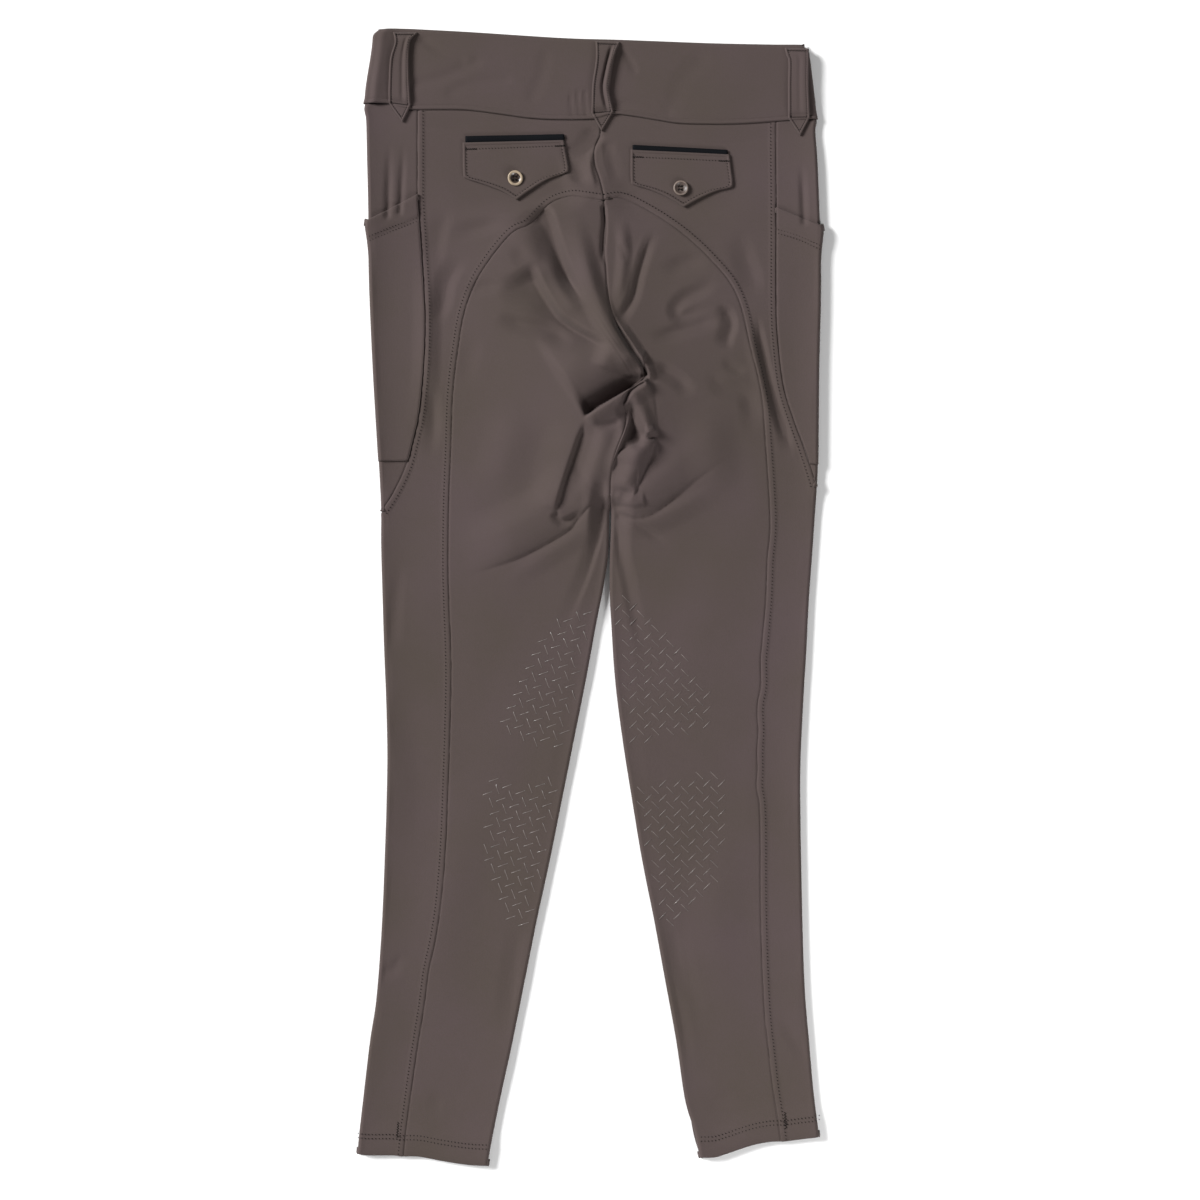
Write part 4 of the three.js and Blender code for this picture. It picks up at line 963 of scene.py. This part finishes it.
def build_waistband():
    """Rings round the band, level by level from the waist seam up, and the fold along its upper edge."""
    heights = np.concatenate([[0, 0.3, 0.7, 1.2, 1.7, 2.2, 2.8, 3.4, 3.8, 4.3, 5], np.linspace(6.5, 55, 24)])
    levels = np.concatenate([heights / BAND_HEIGHT, [0.92, 0.945, 0.965, 0.98, 0.99, 1.0]])
    rows = []
    for level in levels:
        left, right = band_sides(level) + np.array([BAND_ROLL, -BAND_ROLL])
        upper = np.linspace(left, right, 190)
        lower = upper[::-4]

        def height_of(x):
            low, high = up_at(LINES["waist"], x) + 0.2, up_at(LINES["band_top"], x)
            return low + (high - low) * level

        turns = []
        for edge, hand in ((right, 1), (left, -1)):
            angle = np.linspace(0, math.pi, 12)[1:-1]
            _, y, z = band_at([edge], height_of(np.array([edge])))[0]
            x = edge + hand * BAND_ROLL * np.sin(angle)
            turns.append(np.column_stack([x, np.full(len(x), y), z * (1 + np.cos(angle)) / 2])[::hand])
        under = np.column_stack([lower, height_of(lower), np.zeros(len(lower))])
        rows.append(np.vstack([band_at(upper, height_of(upper)), turns[0], under, turns[1]]))
    points = np.stack(rows)
    top = points[-1]
    for angle in np.linspace(0, math.pi, 6)[1:]:
        drop = np.where(top[:, 2] > BAND_FOLD_LEVEL, -1, 1) * (1 - math.cos(angle))
        raised = top + np.column_stack([np.zeros(len(top)), np.full(len(top), math.sin(angle)), drop])
        points = np.concatenate([points, raised[None]])
    cloth_piece("waistband_double", "waistband", points, ring=True, thickness=2.0)


# Belt loops
LOOP_EDGES = {name: [curve(spec[hand], 1.0) for hand in SIDES] for name, spec in BAND_LOOPS.items()}


def loop_at(name, across, along):
    """Points of a belt loop: across is -1 to 1, along is 0 at the top, 1 at the waist seam, 2 at the tip."""
    spec = BAND_LOOPS[name]
    left, right = (
        np.column_stack([np.interp(clipped(along), np.linspace(0, 1, len(e)), e[:, k]) for k in (0, 1)])
        for e in LOOP_EDGES[name]
    )
    tip = laid([spec["tip"]])[0]
    point = np.clip(along - 1, 0, 0.97)[:, None]
    left, right = left + (tip - left) * point, right + (tip - right) * point
    share = ((across + 1) / 2)[:, None]
    plan = left + (right - left) * share
    half = np.linalg.norm(right - left, axis=1) / 2
    inside = np.minimum((1 - abs(across)) * half, np.where(along > 1, (2 - along) * 16, 99))
    x, y = plan[:, 0], plan[:, 1]
    waist = up_at(LINES["waist"], x)
    on_band = band_at(x, np.maximum(y, waist + 0.3))[:, 2]
    base = np.where(y > waist, on_band, cloth_at(x, y, seams=False)[:, 2] + 0.4)
    body = smooth(clipped(along) / 0.12) * smooth((1 - along) / 0.1)
    aside = across - np.interp(along, *zip(*spec["crease"]))
    fold = -spec["depth"] * bump(aside / 0.2) + 0.55 * spec["depth"] * bump((aside - 0.4) / 0.3)
    z = base + 1.7 + 1.6 * body + fold * smooth(along / 0.2) * smooth((1.04 - along) / 0.2)
    z += 0.45 * smooth((2.5 - inside) / 0.7) - 0.35 * bump((inside - 2.2) / 0.4)
    z -= 1.1 * (1 - smooth(inside / 0.9)) ** 2
    z -= 0.7 * bump((along - 1) / 0.03) * smooth((inside - 1.2) / 1.0)
    return np.column_stack([x, y, z])


def build_loop(name):
    """Rows from the top of the loop to its tip, with its long edges turned down."""
    near_edge = np.array([-1, -0.98, -0.95, -0.9, -0.85])
    across = np.concatenate([near_edge, np.linspace(-0.8, 0.8, 25), -near_edge[::-1]])
    rows = []
    for along in np.concatenate([[0, 0.006, 0.012, 0.02, 0.035], np.linspace(0.05, 1.96, 78), [1.98, 2.0]]):
        row = loop_at(name, across, np.full(len(across), along))
        row[:, 2] -= 1.0 * (1 - smooth(along / 0.015)) ** 2
        rows.append(row)
    points = np.stack(rows)
    under = points[:, [0, -1]].copy()
    under[..., 2] -= 0.8
    points = np.concatenate([under[:, :1], points, under[:, 1:]], axis=1)
    name, node = f"belt_loop_{name}_strip", f"belt_loop_{name}"
    cloth_piece(name, node, points, flip=True)


# Back pockets
FLAPS = {
    "left": {
        "outline": [(462.6, 142.6), (463.4, 174), (466, 178.5), (484, 184.5), (503, 192), (516.5, 200.2),
                    (530, 190.5), (548, 179.5), (565, 173.5), (568.6, 169.5), (566.5, 155), (563.8, 140)],
        "welt": ((465.6, 136.4), (564.2, 134.6), 5.6),
        "button": (515.4, 178.5),
        "tilt": (-7, 5),
        "dish": 4.1,
        "cross": ((465.5, 149.5), (566, 146)),
    },
    "right": {
        "outline": [(630.6, 149.6), (630.8, 180), (633.5, 184.8), (650, 190), (667, 197.5), (683.8, 207.5),
                    (700, 198.5), (716, 191.5), (729, 188.3), (732.8, 184.6), (731.4, 170), (729.4, 154.2)],
        "welt": ((632.9, 145.2), (727.4, 150.2), 5.0),
        "button": (680.8, 188.5),
        "tilt": (2, -3),
        "dish": 4.9,
        "cross": ((632.5, 157), (729.5, 161.5)),
    },
}
FLAP_CORNERS = (0, 5, 11)  # which points of the outline are sharp
FLAP_CLOTH = 1.6
FLAP_STEP = 1.1  # between the points of its outline
NEAR_EDGE = 5  # this close to its edge a flap has rings at fixed distances from it
LAST_RING = 60


def flap_sides(spec):
    """The flap's two sides, from an upper corner to its point and on to the other upper corner."""
    return [curve(spec["outline"][a : b + 1], FLAP_STEP) for a, b in zip(FLAP_CORNERS, FLAP_CORNERS[1:])]


def flap_outline(spec):
    top = resample(laid([spec["outline"][-1], spec["outline"][0]]), FLAP_STEP)
    return np.vstack([line[:-1] for line in (*flap_sides(spec), top)])


def flap_at(spec, x, y):
    """Points of a flap's right side: it lies on the cloth, with a round edge over its seam allowance."""
    outline = flap_outline(spec)
    closed = np.vstack([outline, outline[:1]])
    inside = near(closed, x, y)[0]
    cross = near(laid(spec["cross"]), x, y)[0]
    z = cloth_at(x, y, seams=False)[:, 2] + 0.3 + FLAP_CLOTH
    z += 0.5 * smooth((3.4 - inside) / 1.6) - 0.25 * bump((inside - 2.6) / 0.45) - 0.3 * bump(cross / 0.5)
    z -= 0.9 * (1 - smooth(inside / 0.9)) ** 2
    bx, by = laid([spec["button"]])[0]
    z -= 0.35 * bump(np.hypot(x - bx, y - by) / 7)
    z += 0.5 * smooth((by + 4 - y) / 16)
    return np.column_stack([x, y, z])


def build_flap(side):
    """Rings from the flap's edge to a middle that its button hides."""
    spec = FLAPS[side]
    outline = flap_outline(spec)
    centre = laid([spec["button"]])[0]
    reach = np.linalg.norm(outline - centre, axis=1)
    rows = []
    for ring in [0, 0.2, 0.5, 0.9, 1.4, 1.9, 2.3, 2.6, 2.9, 3.4, 4.2, *np.linspace(5.5, LAST_RING, 22)]:
        if ring < NEAR_EDGE:
            share = 1 - ring / reach
        else:
            share = (1 - NEAR_EDGE / reach) * (1 - (ring - NEAR_EDGE) / (LAST_RING - NEAR_EDGE))
        plan = centre + (outline - centre) * share[:, None]
        rows.append(flap_at(spec, plan[:, 0], plan[:, 1]))
    name, node, under = f"{side}_pocket_flap", f"back_pocket_flap_{side}", f"{side}_back_hip_and_leg"
    thickness = FLAP_CLOTH - 0.2
    cloth_piece(name, node, np.stack(rows), ring=True, thickness=thickness)


def build_welt(side):
    """A narrow rounded strip with a back that lies on the cloth."""
    a, b, width = FLAPS[side]["welt"]
    start, end = laid([a])[0], laid([b])[0]
    front = np.array([0, 0.03, 0.09, 0.2, 0.35, 0.5, 0.65, 0.8, 0.92, 1.0])
    across = np.concatenate([front, [1.04, 1.0], front[-2::-1]])
    back = np.arange(len(across)) > len(front)
    rows = []
    for share in [0, 0.004, 0.01, *np.linspace(0.02, 0.98, 60), 0.99, 0.996, 1]:
        x = np.full(len(across), start[0] + (end[0] - start[0]) * share)
        y = start[1] + (end[1] - start[1]) * share - across * width * STEP
        crown = 0.9 + 0.9 * clipped(np.sin(np.pi * clipped(across * 0.9 + 0.05))) ** 0.5
        crown *= smooth(min(share, 1 - share) / 0.01 + 0.3)
        z = cloth_at(x, y, seams=False)[:, 2] + 0.2 + np.where(back, 0.0, crown)
        rows.append(np.column_stack([x, y, z]))
    name, node, under = f"{side}_pocket_welt", f"back_pocket_welt_{side}", f"{side}_back_hip_and_leg"
    cloth_piece(name, node, np.stack(rows), flip=True, thickness=0.35,
                material=SATIN)


# Buttons
BUTTON_PROFILE = [
    # radius and height, from the middle of the dish over the rim to the middle of the back
    (0.02, 1.35), (0.5, 1.35), (1.0, 1.35), (1.5, 1.36), (2.0, 1.38), (2.5, 1.42), (3.0, 1.5), (3.5, 1.65),
    (4.0, 1.92), (4.4, 2.2), (4.8, 2.45), (5.2, 2.6), (5.6, 2.62), (5.95, 2.5), (6.2, 2.25), (6.34, 1.9),
    (6.35, 1.5), (6.2, 1.0), (5.8, 0.6), (5.0, 0.35), (3.0, 0.3), (0.02, 0.3),
]
FRONT_LEVEL = 1.2  # the button's front is above this
HOLE_AT = 1.45  # from the middle, across and up
HOLE_RADIUS = 1.15


def build_button(side):
    """Four-hole button: round rim, dished middle, thread in the holes."""
    spec = FLAPS[side]
    bx, by = laid([spec["button"]])[0]
    base = float(flap_at(spec, np.array([bx]), np.array([by]))[0, 2])
    fine = resample(np.array(BUTTON_PROFILE), 0.16)
    angle = np.linspace(0, 2 * math.pi, 72, endpoint=False)
    points = np.empty((len(fine), len(angle), 3))
    for k, (radius, z) in enumerate(fine):
        x, y = radius * np.cos(angle), radius * np.sin(angle)
        to_hole = np.hypot(abs(x) - HOLE_AT, abs(y) - HOLE_AT)
        hole = smooth((HOLE_RADIUS - to_hole) / 0.3) * (z > FRONT_LEVEL)
        points[k] = np.column_stack([x, y, z - 0.95 * hole])
    lean_x, lean_y = (math.radians(v) for v in spec["tilt"])
    flat = points.reshape(-1, 3)
    flat[:, 2] += flat[:, 0] * math.tan(lean_x) + flat[:, 1] * math.tan(lean_y) + 0.45
    flat += (bx, by, base)
    faces = list(grid_faces(len(fine), len(angle), ring=True, flip=True))
    faces.append(list(range(len(angle))))
    faces.append([len(flat) - 1 - k for k in range(len(angle))])
    piece = mesh_piece(f"{side}_button", flat, faces, RIM[side])
    piece.data.materials.append(DISH[side])
    dished = (fine[:-1, 0] < spec["dish"]) & (fine[:-1, 1] > FRONT_LEVEL)
    piece.data.polygons.foreach_set("material_index", [*np.repeat(dished.astype(int), len(angle)), 1, 0])
    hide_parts(f"pocket_button_{side}")
    threads = []
    for hand in (-1, 1):
        for spread in (-0.28, 0, 0.28):
            row = spread * 0.9 + hand * 1.3
            ends = np.array([[-1.5, row], [1.5, row]]) + (bx, by)
            threads.append(np.column_stack([ends, np.full(2, base + 2.1)]))
    strands(f"{side}_button_thread", threads, 0.22, TACK)


# Thread and print
def strands(name, lines, radius, material, sides=5, flatten=1.0):
    """Short round-ended strands, one for each pair of end points, joined in one piece."""
    lines = np.asarray(lines, float)
    start, end = lines[:, 0], lines[:, -1]
    way = unit(end - start)
    flat = unit(np.column_stack([port_of(way), np.zeros(len(way))]))
    rise = np.cross(way, flat)
    angle = (np.arange(sides) * 2 * math.pi / sides)[None, :, None]
    circle = flat[:, None] * np.cos(angle) + rise[:, None] * (flatten * np.sin(angle))
    inset = way[:, None] * radius * 0.7
    bodies = [start[:, None], start[:, None] + inset + circle * radius]
    bodies += [end[:, None] - inset + circle * radius, end[:, None]]
    one = []
    last = 2 * sides + 1
    for k in range(sides):
        near_k, far_k = 1 + k, 1 + sides + k
        near_next, far_next = 1 + (k + 1) % sides, 1 + sides + (k + 1) % sides
        one += [[0, near_next, near_k], [near_k, near_next, far_next]]
        one += [[near_k, far_next, far_k], [last, far_k, far_next]]
    faces = (np.arange(len(lines))[:, None, None] * (last + 1) + np.array(one)[None]).reshape(-1, 3)
    piece = mesh_piece(name, np.concatenate(bodies, axis=1), faces, material)


STITCH_LIFT = 0.26


def dashes(surface, middle, way, length, lift):
    """End points of short strands on a surface, each centred on a point and along its way."""
    ends = [middle + k * way * length / 2 for k in (-1, 1)]
    lines = np.stack([surface(end[:, 0], end[:, 1]) for end in ends], axis=1)
    lines[..., 2] += lift
    return lines


def stitches_along(line, surface, pitch=2.9, length=1.0):
    """End points of the stitches of a seam that follows a line over a surface."""
    even = resample(line, pitch)
    middle = (even[:-1] + even[1:]) / 2
    return list(dashes(surface, middle, unit(np.diff(even, axis=0)), length, STITCH_LIFT))


def links(points, share=1):
    """Pairs of neighbouring points, or the first share of the way between them."""
    return [np.stack([a, a + (b - a) * share]) for a, b in zip(points, points[1:])]


def offset(line, distance):
    """The line moved towards port."""
    return line + port_of(unit(np.gradient(line, axis=0))) * distance


def tack(start, end, surface, width, count):
    """A bar tack: a short dense zigzag between two layout points."""
    a, b = laid([start, end])
    side = port_of(unit((b - a)[None]))[0] * width / 2
    places = np.linspace(0, 1, count)
    plan = np.array([a + (b - a) * t + side * (1 if k % 2 else -1) for k, t in enumerate(places)])
    points = surface(plan[:, 0], plan[:, 1])
    points[:, 2] += 0.12
    return links(points)


ROW_RADIUS = 0.58  # thread of the seams' stitch rows
FINE_ROW = (2.6, 0.9)  # pitch and length of the stitches of flaps and side pockets
FINE_RADIUS = 0.5
TACK_RADIUS = 0.26
HEM_TACKS = {"left": ((398.4, 1122), (397.2, 1137)), "right": ((785, 1112), (786, 1128))}


def build_topstitching(side, sign):
    """Rows beside the seat and hip seams, two rows round the hem, and the tack above the hem."""
    spec = PANELS[side]
    seat = cut_line(LINES[f"seat_{side}"], APEX, spec["hem_seam"])
    hip = cut_line(LINES[f"hip_{side}"], spec["waist_outer"], spec["hip_end"])
    rows = stitches_along(offset(seat, TOPSTITCH * sign), cloth_at)
    rows += stitches_along(offset(hip, -TOPSTITCH * sign), cloth_at)
    hem = cut_line(LINES[f"hem_{side}"], *(spec["hem_outer"], spec["hem_inner"])[::-sign])
    for row in HEM_ROWS:
        rows += stitches_along(hem + (0, HEM_DEPTH - row), cloth_at)
    strands(f"{side}_topstitching", rows, ROW_RADIUS, THREAD_PAINTED_SHADE)
    strands(f"{side}_hem_tack", tack(*HEM_TACKS[side], cloth_at, 1.8, 13), TACK_RADIUS, TACK)


def build_detail_stitching(side):
    """Rows round and across the flap, tacks at the ends of the cross row, and rows at the pocket's mouth."""
    spec = FLAPS[side]
    outline = flap_outline(spec)
    centre = outline.mean(0)
    reach = np.linalg.norm(outline - centre, axis=1)[:, None]
    edge = centre + (outline - centre) * (1 - 3.0 / reach)
    count = sum(len(line) - 1 for line in flap_sides(spec))

    def on_flap(x, y):
        return flap_at(spec, x, y)

    rows = stitches_along(edge[2 : count - 2], on_flap, *FINE_ROW)
    rows += stitches_along(resample(laid(spec["cross"]), 2.0), on_flap, *FINE_ROW)
    strands(f"{side}_flap_stitching", rows, FINE_RADIUS, THREAD_PAINTED_SHADE)
    a, b = np.array(spec["cross"])
    tacks = tack(a, a + (b - a) * 0.11, on_flap, 1.3, 12) + tack(b - (b - a) * 0.11, b, on_flap, 1.3, 12)
    strands(f"{side}_flap_tacks", tacks, TACK_RADIUS, TACK)
    pocket = POCKETS[side]

    def on_pocket(x, y):
        points = cloth_at(x, y, POCKET_STEP)
        points[:, 2] += pocket_lift(np.asarray(x), np.asarray(y), pocket)
        return points

    rows = [r for line in pocket["hems"] for r in stitches_along(curve(line, 1.0), on_pocket, *FINE_ROW)]
    strands(f"{side}_side_pocket_stitching", rows, FINE_RADIUS, THREAD_PAINTED_SHADE)


LOOP_HALF = 8.4
LOOP_ROW = 2.2  # from the loop's edge to its stitch row


def build_loop_stitching(name):
    """A row along each edge, and a tack at the top and at the waist seam."""
    rows = []
    for hand in (-1, 1):
        along = np.linspace(0.06, 1.0, 29)
        side_row = loop_at(name, np.full(len(along), hand * (1 - LOOP_ROW / LOOP_HALF)), along)
        along = np.linspace(1.02, 1.72, 8)
        tip_row = loop_at(name, hand * clipped(1 - LOOP_ROW / (LOOP_HALF * (2 - along))), along)
        for row in (side_row, tip_row):
            row[:, 2] += 0.1
            rows += links(row, 0.62)
    strands(f"belt_loop_{name}_stitching", rows, 0.42, THREAD_PAINTED_SHADE)
    bars = []
    for along_at, reach in ((0.04, 0.85), (1.0, 0.8)):
        across = np.linspace(-reach, reach, 15)
        zigzag = loop_at(name, across, along_at + 0.011 * (-1.0) ** np.arange(len(across)))
        zigzag[:, 2] += 0.15
        bars += links(zigzag)
    strands(f"belt_loop_{name}_tacks", bars, 0.24, TACK)


# Grip print: two crossing sets of short bars on a square lattice, at the inside of each knee
PRINT = {
    "left": {
        "turn": 20,
        "patches": [
            [(594, 602), (570, 611), (541, 638), (519, 674), (499, 725), (501, 735), (526, 739), (548, 747),
             (574, 745), (590, 665), (603, 604)],
            [(488, 774), (516, 786), (566, 778), (560, 820), (545, 890), (534, 944), (518, 927), (504, 914),
             (490, 880), (484, 842), (487, 788)],
        ],
    },
    "right": {
        "turn": 45,
        "patches": [
            [(612, 600), (625, 594), (645, 603), (659, 619), (676, 638), (691, 665), (707, 694), (711, 720),
             (708, 729), (674, 735), (624, 745), (614, 668)],
            [(719, 765), (725, 798), (725, 832), (719, 864), (713, 883), (701, 905), (679, 924), (656, 932),
             (645, 870), (634, 790), (691, 774)],
        ],
    },
}
PRINT_PITCH = 12.35
PRINT_CENTRE = (37, -120)
BAR = {"length": 8.2, "radius": 0.3}
BEAD_RADIUS = 0.46
PRINT_MARGIN = 6.2  # between the print and the leg's inner edge


def inside_patch(patch, points):
    """Which points lie inside an outline."""
    x, y = points[:, 0], points[:, 1]
    found = np.zeros(len(points), bool)
    for (ax, ay), (bx, by) in zip(patch, np.roll(patch, -1, axis=0)):
        crosses = (ay > y) != (by > y)
        found ^= crosses & (x < (bx - ax) * (y - ay) / (by - ay + 1e-12) + ax)
    return found


def build_print(side, sign):
    """Bars in two crossing directions, each with a bead at one end."""
    spec = PRINT[side]
    turn = math.radians(spec["turn"])
    bars, beads = [], []
    span = np.arange(-60, 61) * PRINT_PITCH
    u, v = (grid.ravel() for grid in np.meshgrid(span, span))
    lattice = math.radians(45) + turn
    for half, lean in ((0, 0), (0.5, math.pi / 2)):
        a, b = u + half * PRINT_PITCH, v + half * PRINT_PITCH
        x = a * math.cos(lattice) - b * math.sin(lattice) + sign * PRINT_CENTRE[0]
        y = a * math.sin(lattice) + b * math.cos(lattice) + PRINT_CENTRE[1]
        middle = np.column_stack([x, y])
        clear = (x - across_at(LINES[f"inner_{side}"], y)) * sign > PRINT_MARGIN
        way = np.array([math.cos(turn + lean), math.sin(turn + lean)])
        for patch in spec["patches"]:
            keep = inside_patch(laid(patch), middle) & clear
            lines = dashes(cloth_at, middle[keep], way, BAR["length"], 0.05)
            bars.append(lines)
            step = (lines[:, 1] - lines[:, 0])[:, None] * 0.06
            first = lines[:, :1] if lean == 0 else lines[:, 1:]
            beads.append(np.concatenate([first - step, first + step], axis=1))
    strands(f"{side}_grip_print", np.concatenate(bars), BAR["radius"], SILICONE, sides=6, flatten=0.6)
    strands(f"{side}_grip_beads", np.concatenate(beads), BEAD_RADIUS, SILICONE, sides=6)


for side, sign in SIDES.items():
    build_pocket(side)
    build_front(side, sign)
    build_flap(side)
    build_welt(side)
    build_button(side)
    build_topstitching(side, sign)
    build_detail_stitching(side)
    build_print(side, sign)
build_waistband()
for name in BAND_LOOPS:
    build_loop(name)
    build_loop_stitching(name)


# Stage
FLOOR_LEVEL = -0.0009
FLOOR_CORNERS = ((-4, -4), (4, -4), (4, 4), (-4, 4))
LIGHTS = (
    # name, place and size in metres, power
    ("side_light", (-6.8, 3.2, 4.8), 3.0, 1560),
    ("foot_light", (1.25, -1.4, 1.1), 0.8, 30),
)
CAMERA_HEIGHT = 2.384


def add_object(name, data, place=(0, 0, 0)):
    thing = bpy.data.objects.new(name, data)
    thing.location = place
    bpy.context.scene.collection.objects.link(thing)
    return thing


def build_floor():
    material = bpy.data.materials.new("pale_floor")
    material.use_nodes = True
    shader = material.node_tree.nodes["Principled BSDF"]
    socket(shader, "Base Color", (0.95, 0.95, 0.95, 1))
    socket(shader, "Roughness", 0.9)
    socket(shader, "Specular IOR Level", 0.1)
    mesh = bpy.data.meshes.new("floor")
    mesh.from_pydata([(x, y, FLOOR_LEVEL) for x, y in FLOOR_CORNERS], [], [(0, 1, 2, 3)])
    mesh.materials.append(material)
    add_object("floor", mesh)


def build_lights():
    world = bpy.data.worlds.new("studio")
    bpy.context.scene.world = world
    world.use_nodes = True
    background = world.node_tree.nodes["Background"]
    socket(background, "Color", (1, 1, 1, 1))
    socket(background, "Strength", 0.2)
    for name, place, size, power in LIGHTS:
        light = bpy.data.lights.new(name, "AREA")
        light.size = size
        light.energy = power
        lamp = add_object(name, light, place)
        lamp.rotation_euler = (Vector((0, 0, 0)) - lamp.location).to_track_quat("-Z", "Y").to_euler()


def build_camera():
    """Straight above the middle of the layout."""
    camera = bpy.data.cameras.new("camera")
    camera.lens = 85
    camera.sensor_width = 36
    x, y = (laid([(600, 600)])[0] + SHIFT) / PER_METRE
    scene = bpy.context.scene
    scene.camera = add_object("camera", camera, (x, y, CAMERA_HEIGHT))
    scene.view_settings.view_transform = "Standard"


build_floor()
build_lights()
build_camera()

for name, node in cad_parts.items():
    if not node.hide_render:
        raise RuntimeError(f"{name} still shows its plain solid")
